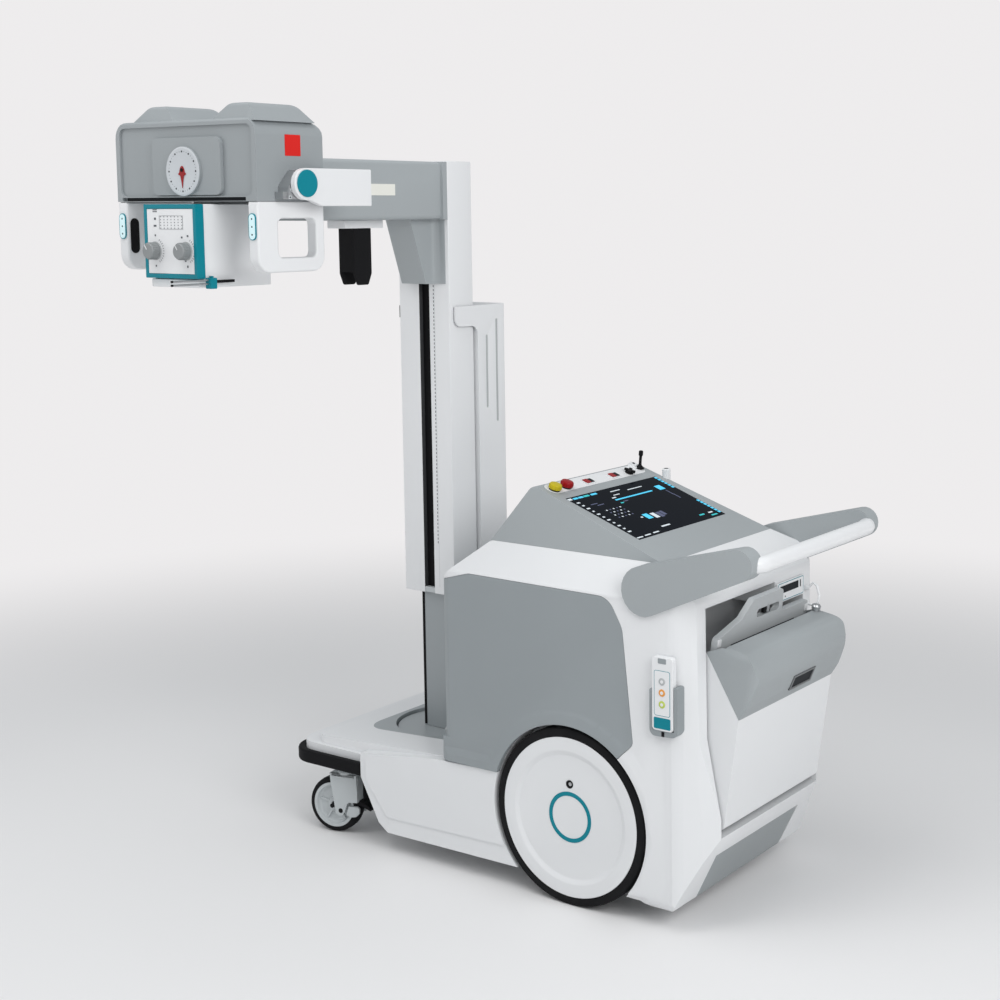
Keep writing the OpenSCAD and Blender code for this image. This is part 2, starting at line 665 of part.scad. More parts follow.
module caster_tyre(side) color(dark)
    at_caster(side) translate([-caster_trail, 0, caster_r]) rotate([90, 0, 0]) rotate_extrude($fn = 72)
        polygon(rounded([[caster_r - 14, -caster_w / 2, 0], [caster_r - 4, -caster_w / 2, 6],
                         [caster_r, 0, 0], [caster_r - 4, caster_w / 2, 6],
                         [caster_r - 14, caster_w / 2, 0]], 3));
module caster_fork_left() caster_fork(-1);
module caster_fork_right() caster_fork(1);
module caster_hub_left() caster_hub(-1);
module caster_hub_right() caster_hub(1);
module caster_tyre_left() caster_tyre(-1);
module caster_tyre_right() caster_tyre(1);

// mast
module on_mast() translate([-mast_x, 0, 0]) children();
foot_z = deck_z - 4;         // top of the turntable, just under the tray
module turntable() color(grey)
    on_mast() {
        translate([0, 0, tub_floor + 0.5]) cylinder(r = turntable_r, h = foot_z - tub_floor - 0.5);
        translate([0, 0, tub_z + 10]) cylinder(r = spigot_r, h = tub_floor - tub_z);
    }
module inner_column() color(grey)
    on_mast() block([-inner_w / 2, inner_w / 2], [inner_y0, inner_y0 + inner_d], [foot_z, inner_top]);
tower_half_w = column_w / 2 + run + 5;
module tower_cover() color(white)
    on_mast() difference() {
        y0 = column_y1 + 6;
        union() {
        // foot that stands on the turntable behind the inner column
        block([-45, 45], [inner_y0 + inner_d + seam, 118], [foot_z, column_foot - column_travel - run]);
        slab_z(rounded([[-tower_half_w, y0, 0], [tower_half_w, y0, 0],
                        [tower_half_w, y0 + tower_d, 8], [-tower_half_w, y0 + tower_d, 8]]),
               deck_z + deck_rise + 8, tower_top);
        // lugs that lap the sides of the column
        for (side = [-1, 1])
            slab_x(rounded([[column_y0 + 12, tower_top, 0], [column_y0 + 12, tower_top - 52, 20],
                            [y0, tower_top - 54, 24], [y0, tower_top - 402, 0],
                            [y0 + 10, tower_top - 402, 0], [y0 + 10, tower_top, 0]]),
                   side < 0 ? -tower_half_w : tower_half_w - 5, side < 0 ? -tower_half_w + 5 : tower_half_w);
        }
        // two grooves in each side: place, lower end, upper end
        for (row = [[y0 + 36, tower_top - 276, tower_top - 80], [y0 + 77, tower_top - 317, tower_top - 39]])
            for (side = [-1, 1])
                slab_x(rounded(box_rows(row[0] - 4.5, row[0] + 4.5, row[1], row[2], 4.4)),
                       side < 0 ? -tower_half_w - 1 : tower_half_w - 3, side < 0 ? -tower_half_w + 3 : tower_half_w + 1);
    }

// column
module outer_column() color(white) on_mast() {
    difference() {
        slab_z(rounded(box_rows(-column_w / 2, column_w / 2, column_y0, column_y1, 3), 3), column_foot, column_top);
        block([-column_w / 2 + column_wall, column_w / 2 - column_wall],
              [column_y0 + column_wall, column_y1 - column_wall], [column_foot - 1, column_top - 10]);
        block([-slot_w / 2, slot_w / 2], [column_y0 - 1, column_y0 + column_wall + 1],
              [column_foot - 1, column_top - 20]);
    }
    // guides that run on the inner column
    for (side = [-1, 1])
        block(side < 0 ? [-column_w / 2 + column_wall - 1, -inner_w / 2 - seam]
                       : [inner_w / 2 + seam, column_w / 2 - column_wall + 1],
              [inner_y0 + 4, inner_y0 + inner_d - 4], [column_foot + 4, column_foot + 84]);
}
module column_stop() color(dark)
    on_mast() block([-column_w / 2 - 3, -column_w / 2 - seam], [column_y0 + 2, column_y0 + 14], [tower_top - 33, tower_top - 1]);

// carriage and arm
collar_t = 24;
beam_gap = 6;
function beam_outline(grow) =
    let (side = arm_wall + beam_gap - grow)
    rounded(box_rows(-arm_w / 2 + side, arm_w / 2 - side, arm_z0 + side, arm_top - side, 6), 3);
module carriage() color(grey)
    on_mast() difference() {
        union() {
            // plate on the front of the column
            block([-column_w / 2 + 1, column_w / 2 - 1], [column_y0 - 16, column_y0 - seam], [arm_z0, arm_top]);
            slab_y(rounded(box_rows(-arm_w / 2, arm_w / 2, arm_z0, arm_top, 12)), -arm_reach, column_y0 - seam);
            slab_x([[column_y0 - seam, arm_z0 - gusset_h], [column_y0 - seam, arm_z0 + 2],
                    [column_y0 - 95, arm_z0 + 2], [column_y0 - 38, arm_z0 - gusset_h]], -inner_w / 2, inner_w / 2);
            // flare of the gusset on the column's face
            slab_z(rounded([[-76, column_y0 - seam, 0], [-76, column_y0 - 2, 0], [-44, column_y0 - 4, 20],
                            [-inner_w / 2, column_y0 - 34, 0], [inner_w / 2, column_y0 - 34, 0],
                            [44, column_y0 - 4, 20], [76, column_y0 - 2, 0], [76, column_y0 - seam, 0]]),
                   arm_z0 - gusset_h, arm_z0 + 2);
            // tongue that runs in the slot
            block([-slot_w / 2 + 2, slot_w / 2 - 2], [column_y0 - 1.5, column_y0 + 13],
                  [arm_z0 - gusset_h + 10, arm_z0 - 10]);
        }
        // open tube for the telescoping beam, with a close collar at its mouth
        slab_y(rounded(box_rows(-arm_w / 2 + arm_wall, arm_w / 2 - arm_wall, arm_z0 + arm_wall, arm_top - arm_wall, 8)),
               -arm_reach + collar_t, -150);
        slab_y(beam_outline(seam), -arm_reach - 1, -150);
    }
module fork_mount() color(white)
    on_mast() block([-30, 30], [-375, -240], [arm_z0 - 20, arm_z0]);
module docking_fork() color(dark)
    on_mast() {
        z1 = arm_z0 - 20;
        for (side = [-1, 1])
            slab_x(rounded([[-341, z1, 0], [-280, z1, 0], [-280, z1 - 112, 8], [-292, z1 - 140, 6],
                            [-329, z1 - 140, 6], [-341, z1 - 112, 8]], 3),
                   side < 0 ? -26 : 20, side < 0 ? -20 : 26);
        block([-20, 20], [-341, -335], [z1 - 108, z1]);
        block([-20, 20], [-335, -280], [z1 - 6, z1]);
    }
module arm_beam() color(steel)
    on_mast() {
        slab_y(beam_outline(0), yoke_back_y + yoke_plate_t + 1, -160);
        bar_y(0, [yoke_back_y + 3, yoke_back_y + yoke_plate_t + 2], roll_z, roll_r);
    }

// yoke
nose_t = 14;                // the yoke is thin where it takes the head's pin
module yoke() color(white)
    difference() {
        union() {
            slab_x(rounded([[-tilt_y - 36, tilt_z - 36, 34], [-tilt_y + 8, tilt_z - 36, 26],
                            [-tilt_y + 44, yoke_z0, 24], [yoke_back_y + 4, yoke_z0, 0],
                            [yoke_back_y + 4, yoke_z0 + yoke_h, 0], [-tilt_y - 36, yoke_z0 + yoke_h, 34]]),
                   yoke_x1 - nose_t, yoke_x1);
            block([yoke_x0, yoke_x1 - nose_t], [-tilt_y + 66, yoke_back_y + 4], [yoke_z0, yoke_z0 + yoke_h]);
            block([head_x, yoke_x0 + 14], [yoke_back_y, yoke_back_y + yoke_plate_t],
                  [yoke_z0 + 4, yoke_z0 + yoke_h - 4]);
            bar_y(head_x, [yoke_back_y, yoke_back_y + yoke_plate_t], roll_z, 58);
        }
        bar_y(head_x, [yoke_back_y + 3 - fit, yoke_back_y + 60], roll_z, roll_r + fit);
        bar_x([yoke_x0 - 1, yoke_x1 - 6], -tilt_y, tilt_z, pin_r + fit);
    }
module yoke_cap() color(teal)
    bar_x([yoke_x1, yoke_x1 + 3], -tilt_y, tilt_z, 30);

// tube head
head_side = [[head_y0, head_z0, 0], [head_y1, head_z0, 0], [head_y1, head_z1, 34], [head_y0, head_z1, 6]];
module head_housing() color(grey)
    difference() {
        union() {
            intersection() {
                slab_y(rounded([[head_left, head_z0, 0], [head_left, head_z1, 36],
                                [head_right, head_z1, 36], [head_right, head_z0, 0]]), head_y0, head_y1);
                slab_x(rounded(head_side), head_left, head_right);
            }
            // humps that run from front to back; x of the crest
            for (crest = [-102, 158])
                intersection() {
                    slab_y(rounded([[head_x + crest - 84, head_z1 - 6, 0], [head_x + crest - 30, head_z1 + hump_h, 26],
                                    [head_x + crest + 26, head_z1 + hump_h, 26], [head_x + crest + 60, head_z1 - 6, 0]]),
                           head_y0, head_y1);
                    slab_x(rounded([[head_y0 + 5, head_z1 - 8, 0], [head_y0 + 18, head_z1 + hump_h, 12],
                                    [head_y1 - 44, head_z1 + hump_h, 24], [head_y1 - 16, head_z1 - 8, 0]]),
                           head_left, head_right);
                }
        }
        // sunk front panel, with a slit under it
        slab_y(rounded(box_rows(head_left + 13, head_right - 13, head_z0 + 12, head_z1 - 13, 16)), head_y0 - 1, head_y0 + 5);
        block([head_left + 16, head_right - 34], [head_y0 - 1, head_y0 + 9], [head_z0 + 1, head_z0 + 9]);
    }
module head_dial() color(grey) {
    slab_y(rounded(box_rows(head_x - 106, head_x + 116, head_z0 + 14, head_z1 - 38, 16)), head_y0 - 4, head_y0 + 5);
    bar_y(head_x, [head_y0 - 9, head_y0 - 4], head_z0 + 66, 54);
}
// inner limits of a grip, in x
function grip_x(side) = side < 0 ? [head_left, head_left + grip_w] : [head_right - grip_w, head_right];
module head_grips() color(white)
    for (side = [-1, 1]) {
        difference() {
            slab_x(rounded([[head_y0, head_z0 - seam, 0], [head_y1, head_z0 - seam, 0],
                            [head_y1, head_z0 - grip_h, 34], [head_y0, head_z0 - grip_h, 34]]),
                   grip_x(side)[0], grip_x(side)[1]);
            slab_x(rounded(box_rows(head_y0 + 60, head_y1 - 26, head_z0 - grip_h + 32, head_z0 - 38, 14)),
                   head_left - 1, head_right + 1);
        }
    }
module head_pads() color([0.8, 0.95, 0.97])
    for (side = [-1, 1])
        slab_y(rounded(box_rows(grip_x(side)[0] + 4, grip_x(side)[1] - 4, head_z0 - 84, head_z0 - 26, 10)),
               head_y0 - 3.3, head_y0 - 0.3);
module trunnion() color(steel) {
    slab_x(rounded([[-tilt_y - 40, head_z0 + 4, 2], [-tilt_y + 38, head_z0 + 4, 2], [-tilt_y + 38, tilt_z + 24, 12],
                    [-tilt_y - 8, tilt_z + 30, 10], [-tilt_y - 40, tilt_z - 6, 8]]),
           head_right + 0.3, yoke_x1 - nose_t - 1);
    block([head_right + 0.3, yoke_x1 - nose_t - 8], [-tilt_y - 50, -tilt_y - 38], [head_z0 + 4, head_z0 + 20]);
    bar_x([head_right + 1, yoke_x1 - 6.5], -tilt_y, tilt_z, pin_r);
}

// collimator
panel_w = coll_w + 6;
panel_rim = 10;             // width of the teal rim round the panel
coll_axis_y = (head_y0 + head_y1) / 2;
module collimator() color(white) {
    block([head_x - coll_w / 2, head_x + coll_w / 2], [coll_y0 + frame_t + 0.3, coll_y0 + coll_d + 15],
          [coll_z0, coll_z1]);
    // neck that turns under the housing
    translate([head_x, coll_axis_y, coll_z1]) cylinder(r = 62, h = head_z0 - coll_z1 - seam);
    block([head_x - coll_w / 2 + 4, head_x + coll_w / 2 - 4], [coll_y0 + 10, coll_y0 + frame_t + 1],
          [coll_z0, coll_z0 + 18]);
}
module collimator_frame() color(teal)
    difference() {
        block([head_x - panel_w / 2, head_x + panel_w / 2], [coll_y0, coll_y0 + frame_t], [coll_z0 + 20, coll_z1]);
        block([head_x - panel_w / 2 + panel_rim, head_x + panel_w / 2 - panel_rim], [coll_y0 - 1, coll_y0 + 4],
              [coll_z0 + 20 + panel_rim, coll_z1 - panel_rim]);
    }
module collimator_face() color([0.85, 0.86, 0.87])
    block([head_x - panel_w / 2 + panel_rim + seam, head_x + panel_w / 2 - panel_rim - seam], [coll_y0 + 1, coll_y0 + 3.7],
          [coll_z0 + 20 + panel_rim + seam, coll_z1 - panel_rim - seam]);
module collimator_knobs() color(grey)
    for (place = [-50, 50]) {
        bar_y(head_x + place, [coll_y0 - knob_reach, coll_y0 + 0.7], coll_z0 + 80, knob_d / 2);
    }
// two measuring rods along the side, with a clamp block and a dark grip
rod_x = head_x + coll_w / 2 + 9;
module ruler() color(teal) {
    for (z = [coll_z0 + 9, coll_z0 + 17])
        bar_y(rod_x, [coll_y0 - rod_reach, coll_y0 + 40], z, 2.2);
    block([head_x + coll_w / 2 + 0.3, rod_x + 8], [coll_y0 + 24, coll_y0 + 42], [coll_z0 - 2, coll_z0 + 22]);
    block([rod_x - 4, rod_x + 4], [coll_y0 + 42, coll_y0 + 96], [coll_z0 + 10, coll_z0 + 17]);
}

translate(to_origin) chassis_base();
translate(to_origin) bumper();
translate(to_origin) deck_tray();
translate(to_origin) body_shell();
translate(to_origin) left_cladding();
translate(to_origin) right_cladding();
translate(to_origin) console();
translate(to_origin) screen();
translate(to_origin) control_strip();
translate(to_origin) console_buttons();
translate(to_origin) console_switches();
translate(to_origin) handle_pads();
translate(to_origin) handle_bar();
translate(to_origin) kick_panel();
translate(to_origin) reader_plate();
translate(to_origin) remote_holder();
translate(to_origin) remote();
translate(to_origin) rear_axle();
translate(to_origin) bin_hinge();
translate(to_origin) bin_front();
translate(to_origin) bin_hood();
translate(to_origin) bin_window();
translate(to_origin) detector();
translate(to_origin) wheel_left();
translate(to_origin) tyre_left();
translate(to_origin) wheel_right();
translate(to_origin) tyre_right();
translate(to_origin) caster_fork_left();
translate(to_origin) caster_fork_right();
translate(to_origin) caster_hub_left();
translate(to_origin) caster_hub_right();
translate(to_origin) caster_tyre_left();
translate(to_origin) caster_tyre_right();
translate(to_origin) turntable();
translate(to_origin) inner_column();
translate(to_origin) tower_cover();
translate(to_origin) outer_column();
translate(to_origin) column_stop();
translate(to_origin) carriage();
translate(to_origin) fork_mount();
translate(to_origin) docking_fork();
translate(to_origin) arm_beam();
translate(to_origin) yoke();
translate(to_origin) yoke_cap();
translate(to_origin) head_housing();
translate(to_origin) head_dial();
translate(to_origin) head_grips();
translate(to_origin) head_pads();
translate(to_origin) trunnion();
translate(to_origin) collimator();
translate(to_origin) collimator_frame();
translate(to_origin) collimator_face();
translate(to_origin) collimator_knobs();
translate(to_origin) ruler();
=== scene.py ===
import bmesh
import bpy
import json
from math import cos, pi, radians, sin
from mathutils import Matrix, Vector


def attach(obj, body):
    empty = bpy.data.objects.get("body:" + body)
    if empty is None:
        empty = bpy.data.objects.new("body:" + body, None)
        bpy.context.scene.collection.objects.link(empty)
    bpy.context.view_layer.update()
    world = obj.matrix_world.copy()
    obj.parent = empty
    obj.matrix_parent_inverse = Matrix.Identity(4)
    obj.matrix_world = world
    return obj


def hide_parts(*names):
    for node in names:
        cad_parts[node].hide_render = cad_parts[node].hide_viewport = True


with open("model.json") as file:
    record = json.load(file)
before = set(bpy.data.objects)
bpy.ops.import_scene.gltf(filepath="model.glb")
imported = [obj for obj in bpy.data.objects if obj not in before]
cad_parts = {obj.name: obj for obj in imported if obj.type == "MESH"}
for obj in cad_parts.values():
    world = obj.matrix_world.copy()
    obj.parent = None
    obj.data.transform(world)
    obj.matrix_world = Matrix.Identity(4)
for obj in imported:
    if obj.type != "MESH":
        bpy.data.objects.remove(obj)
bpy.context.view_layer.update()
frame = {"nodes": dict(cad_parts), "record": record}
nodes = frame["nodes"]

# the machine's own millimetres: x rearwards from the rear axle, y to the right, z up from the floor
home = {"x": 213.0, "y": 326.0}


def at(x, y, z):
    return Vector(((x + home["x"]) / 1000, (y + home["y"]) / 1000, z / 1000))


# ---- camera ----
camera = {"stand": (2255.5, -3291.8, 1655.9), "yaw": 33.458, "pitch": 6.8, "roll": -0.174,
          "focal": 1634.78, "centre": (665.1, 402.8)}


def setCamera():
    yaw, pitch, roll = (radians(camera[word]) for word in ("yaw", "pitch", "roll"))
    ahead = Vector((-sin(yaw) * cos(pitch), cos(yaw) * cos(pitch), -sin(pitch)))
    side = Vector((cos(yaw), sin(yaw), 0))
    up = side.cross(ahead)
    right = side * cos(roll) + up * sin(roll)
    top = up * cos(roll) - side * sin(roll)
    lens = bpy.data.cameras.new("camera")
    lens.sensor_width = 36
    lens.lens = camera["focal"] / 1000 * 36
    lens.shift_x = (500 - camera["centre"][0]) / 1000
    lens.shift_y = (camera["centre"][1] - 500) / 1000
    lens.clip_end = 60
    view = bpy.data.objects.new("camera", lens)
    bpy.context.scene.collection.objects.link(view)
    turn = Matrix((right, top, -ahead)).transposed().to_4x4()
    view.matrix_world = Matrix.Translation(at(*camera["stand"])) @ turn
    bpy.context.scene.camera = view


setCamera()
print("camera set")


# ---- shader sums ----
class Value:                                # a socket that takes part in sums
    def __init__(self, finish, socket):
        self.finish, self.socket = finish, socket

    def sum(self, operation, first, second):
        return self.finish.add("ShaderNodeMath", {"operation": operation}, {0: first, 1: second})

    def __add__(self, other):
        return self.sum("ADD", self, other)

    def __radd__(self, other):
        return self.sum("ADD", other, self)

    def __mul__(self, other):
        return self.sum("MULTIPLY", self, other)

    def __rmul__(self, other):
        return self.sum("MULTIPLY", other, self)


class Finish:                               # one material and its nodes
    def __init__(self, name):
        self.material = bpy.data.materials.new(name)
        self.material.use_nodes = True
        self.tree = self.material.node_tree
        self.shader = self.tree.nodes["Principled BSDF"]
        self.place = self.add("ShaderNodeTexCoord", {}, {}, "Object")

    def add(self, kind, settings, inputs, out=0):
        node = self.tree.nodes.new(kind)
        for word, setting in settings.items():
            setattr(node, word, setting)
        for word, value in inputs.items():
            if isinstance(value, Value):
                self.tree.links.new(value.socket, node.inputs[word])
            else:
                node.inputs[word].default_value = value
        return Value(self, node.outputs[out])

    def feed(self, **inputs):
        for word, value in inputs.items():
            socket = self.shader.inputs[word.replace("_", " ")]
            if isinstance(value, Value):
                self.tree.links.new(value.socket, socket)
            else:
                socket.default_value = value
        return self

    def noise(self, scale, detail=3.0, roughness=0.5):
        return self.add("ShaderNodeTexNoise", {}, {"Vector": self.place, "Scale": scale, "Detail": detail,
                                                   "Roughness": roughness})

    def mix(self, factor, first, second):
        return self.add("ShaderNodeMix", {"data_type": "RGBA"}, {"Factor": factor, 6: first, 7: second}, 2)

    def axis(self, word):
        return self.add("ShaderNodeSeparateXYZ", {}, {0: self.place}, word)

    def bump(self, height, strength, distance):
        return self.add("ShaderNodeBump", {}, {"Height": height, "Strength": strength, "Distance": distance})


def rgb(colour, factor=1.0):
    return tuple(min(1.0, part * factor) for part in colour) + (1.0,)


# columns: colour, roughness, grain size per metre, grain height in mm, shade change
moulded = {
    "shellWhite": ((0.765, 0.775, 0.785), 0.34, 900, 0.012, 0.03),
    "whitePlastic": ((0.78, 0.79, 0.80), 0.30, 1300, 0.01, 0.03),
    "claddingGrey": ((0.285, 0.313, 0.326), 0.47, 1500, 0.02, 0.05),
    "consoleGrey": ((0.345, 0.372, 0.383), 0.47, 1500, 0.02, 0.05),
    "headGrey": ((0.30, 0.325, 0.337), 0.45, 1500, 0.02, 0.05),
    "paintGrey": ((0.35, 0.378, 0.39), 0.36, 900, 0.012, 0.04),
    "kickGrey": ((0.30, 0.325, 0.335), 0.45, 1200, 0.02, 0.05),
    "detectorGrey": ((0.46, 0.48, 0.49), 0.42, 1200, 0.02, 0.04),
    "blackRubber": ((0.010, 0.010, 0.011), 0.55, 1100, 0.03, 0.25),
    "blackPlastic": ((0.012, 0.012, 0.013), 0.38, 1500, 0.02, 0.2),
    "tealPlastic": ((0.0, 0.215, 0.275), 0.36, 1200, 0.01, 0.05),
    "redPlastic": ((0.30, 0.006, 0.008), 0.32, 1200, 0.01, 0.08),
    "yellowPlastic": ((0.52, 0.42, 0.012), 0.32, 1200, 0.01, 0.08),
    "inkBlack": ((0.02, 0.022, 0.025), 0.5, 1200, 0.0, 0.0),
    "grooveGrey": ((0.44, 0.46, 0.465), 0.5, 1200, 0.01, 0.03),
    "zincGrey": ((0.50, 0.53, 0.54), 0.40, 700, 0.02, 0.06),
    "orangePlastic": ((0.75, 0.33, 0.08), 0.35, 1200, 0.0, 0.04),
    "greenPlastic": ((0.50, 0.60, 0.12), 0.35, 1200, 0.0, 0.04),
    "redPlate": ((0.66, 0.016, 0.012), 0.40, 1200, 0.0, 0.03),
    "ivoryPlastic": ((0.78, 0.78, 0.72), 0.45, 1200, 0.0, 0.03),
    "dialWhite": ((0.56, 0.585, 0.61), 0.40, 1200, 0.0, 0.03),
    "windowGrey": ((0.16, 0.165, 0.17), 0.42, 1200, 0.0, 0.04),
    # painted shade: a dark grey for the slot's left wall, standing for the shade inside the slot
    "slotWallShade": ((0.055, 0.057, 0.06), 0.50, 1200, 0.0, 0.06),
    "printGrey": ((0.10, 0.11, 0.12), 0.55, 1200, 0.0, 0.05),
    "knobGrey": ((0.25, 0.265, 0.27), 0.48, 1500, 0.02, 0.05),
}


def mouldedFinish(name):
    colour, rough, scale, height, change = moulded[name]
    finish = Finish(name)
    cloud = finish.noise(3.0, 4.0)          # slow change over a panel
    grain = finish.noise(scale, 2.0)        # fine grain of the mould or the paint
    smear = finish.noise(38.0, 5.0, 0.65)   # handling marks, in the gloss only
    finish.feed(Base_Color=finish.mix(cloud, rgb(colour, 1 - change), rgb(colour, 1 + change)),
                Roughness=rough - 0.05 + smear * 0.08 + grain * 0.03,
                Specular_IOR_Level=0.45 if min(colour) > 0.2 else 0.2 if max(colour) > 0.1 else 0.06)
    if height:
        finish.feed(Normal=finish.bump(grain, 0.5, height / 1000))
    return finish.material


finishes = {name: mouldedFinish(name) for name in moulded}


def steelFinish():
    finish = Finish("brushedSteel")
    fine = finish.add("ShaderNodeMapping", {}, {"Vector": finish.place, "Scale": (40, 900, 900)})
    brush = finish.add("ShaderNodeTexNoise", {}, {"Vector": fine, "Scale": 1.0, "Detail": 4.0})
    finish.feed(Base_Color=finish.mix(brush, (0.46, 0.47, 0.48, 1), (0.60, 0.61, 0.62, 1)), Metallic=1.0,
                Roughness=0.26 + brush * 0.18, Normal=finish.bump(brush, 0.3, 0.00002))
    return finish.material


def tyreFinish():
    finish = Finish("tyreBlack")
    grain = finish.noise(700.0, 4.0)
    dust = finish.noise(22.0, 5.0, 0.6)
    finish.feed(Base_Color=finish.mix(dust, (0.008, 0.008, 0.009, 1), (0.018, 0.018, 0.019, 1)),
                Roughness=0.52 + grain * 0.2, Normal=finish.bump(grain, 0.6, 0.00008),
                Specular_IOR_Level=0.06)
    return finish.material


def glassFinish():
    finish = Finish("screenGlass")
    smear = finish.noise(26.0, 5.0, 0.6)
    finish.feed(Base_Color=(0.004, 0.006, 0.010, 1), Roughness=0.05 + smear * 0.08,
                Specular_IOR_Level=0.02)
    return finish.material


def glowFinish(name, colour, strength):
    finish = Finish(name)
    cloud = finish.noise(60.0, 2.0)
    finish.feed(Base_Color=rgb(colour), Roughness=0.4 + cloud * 0.05,
                Emission_Color=finish.mix(cloud, rgb(colour, 0.85), rgb(colour)), Emission_Strength=strength)
    return finish.material


finishes.update(steel=steelFinish(), tyre=tyreFinish(), glass=glassFinish(),
                padGlow=glowFinish("padGlow", (0.62, 0.83, 0.86), 0.15),
                cyanGlow=glowFinish("cyanGlow", (0.05, 0.42, 0.62), 0.8),
                paleGlow=glowFinish("paleGlow", (0.5, 0.55, 0.58), 0.6),
                tealGlow=glowFinish("tealGlow", (0.02, 0.40, 0.42), 0.6),
                dimGlow=glowFinish("dimGlow", (0.06, 0.07, 0.13), 0.5))
print("finishes made:", len(finishes))


# ---- meshes ----
def newPiece(name, mesh, body, slot, *finishNames):
    piece = bpy.data.objects.new(name, mesh)
    bpy.context.scene.collection.objects.link(piece)
    if len(mesh.materials):
        mesh.materials.clear()
    for finishName in finishNames:
        mesh.materials.append(finishes[finishName])
    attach(piece, body)
    return piece


def shaded(mesh, angle=32):
    for face in mesh.polygons:
        face.use_smooth = True
    mesh.set_sharp_from_angle(angle=radians(angle))
    return mesh


def bevelled(source, width, segments=2, angle=26):
    holder = bpy.data.objects.new("holder", source)
    bpy.context.scene.collection.objects.link(holder)
    edge = holder.modifiers.new("edge", "BEVEL")
    edge.width = width / 1000
    edge.segments = segments
    edge.limit_method = "ANGLE"
    edge.angle_limit = radians(angle)
    edge.harden_normals = True
    edge.use_clamp_overlap = True
    bpy.context.view_layer.update()
    shape = bpy.data.meshes.new_from_object(holder.evaluated_get(bpy.context.evaluated_depsgraph_get()))
    bpy.data.objects.remove(holder)
    return shape


# a copy of a CAD node with its edges rounded, which stands for the node
def softened(node, finishName, width, segments=2, angle=26):
    work = bmesh.new()
    work.from_mesh(nodes[node].data)
    bmesh.ops.remove_doubles(work, verts=work.verts, dist=2e-5)
    bmesh.ops.dissolve_limit(work, angle_limit=radians(0.4), verts=work.verts, edges=work.edges)
    mesh = bpy.data.meshes.new(node + "Soft")
    work.to_mesh(mesh)
    work.free()
    shaded(mesh)
    if width:
        mesh = bevelled(mesh, width, segments, angle)
    piece = newPiece(node + "Soft", mesh, bodyOf[node], slotOf[node], finishName)
    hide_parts(node)


bodyOf = {node: body for body, members in frame["record"]["behaviour"]["bodies"].items() for node in members}
slotOf = {entry["node"]: entry["material_slot"] for entry in frame["record"]["subparts"]}

# columns: finish, edge radius in mm
softEdges = {
    "chassis_base": ("shellWhite", 3.0),
    "bumper": ("blackRubber", 5.0),
    "deck_tray": ("paintGrey", 1.0),
    "body_shell": ("shellWhite", 2.5),
    "left_cladding": ("claddingGrey", 1.6),
    "right_cladding": ("claddingGrey", 1.6),
    "console": ("consoleGrey", 3.0),
    "screen": ("glass", 0.3),
    "control_strip": ("whitePlastic", 0.4),
    "handle_pads": ("consoleGrey", 7.0),
    "handle_bar": ("whitePlastic", 0),
    "kick_panel": ("kickGrey", 3.0),
    "reader_plate": ("whitePlastic", 0.8),
    "remote_holder": ("claddingGrey", 2.0),
    "remote": ("whitePlastic", 1.8),
    "rear_axle": ("steel", 0),
    "bin_hinge": ("steel", 0.5),
    "bin_front": ("shellWhite", 5.0),
    "bin_hood": ("consoleGrey", 5.0),
    "bin_window": ("glass", 0.5),
    "detector": ("detectorGrey", 2.0),
    "wheel_left": ("shellWhite", 2.0),
    "wheel_right": ("shellWhite", 2.0),
    "turntable": ("paintGrey", 1.0),
    "inner_column": ("paintGrey", 2.0),
    "tower_cover": ("shellWhite", 2.0),
    "outer_column": ("shellWhite", 1.0),
    "column_stop": ("blackPlastic", 1.0),
    "carriage": ("paintGrey", 3.0),
    "fork_mount": ("shellWhite", 2.0),
    "docking_fork": ("blackRubber", 1.5),
    "arm_beam": ("steel", 1.0),
    "yoke": ("shellWhite", 3.0),
    "head_housing": ("headGrey", 8.0),
    "head_dial": ("headGrey", 6.0),
    "head_grips": ("whitePlastic", 5.0),
    "trunnion": ("steel", 1.0),
    "collimator": ("whitePlastic", 2.0),
    "collimator_frame": ("tealPlastic", 1.5),
    "collimator_face": ("whitePlastic", 0.5),
}
for node, (finishName, width) in softEdges.items():
    softened(node, finishName, width)
print("edges rounded:", len(softEdges))


# ---- shapes ----
def boxOutline(x0, x1, y0, y1, radius=0.0, steps=6):
    if not radius:
        return [(x0, y0), (x1, y0), (x1, y1), (x0, y1)]
    radius = min(radius, (x1 - x0) / 2, (y1 - y0) / 2)
    middles = ((x1 - radius, y0 + radius, -90), (x1 - radius, y1 - radius, 0),
               (x0 + radius, y1 - radius, 90), (x0 + radius, y0 + radius, 180))
    return [(x + radius * cos(radians(start + 90 * k / steps)), y + radius * sin(radians(start + 90 * k / steps)))
            for x, y, start in middles for k in range(steps + 1)]


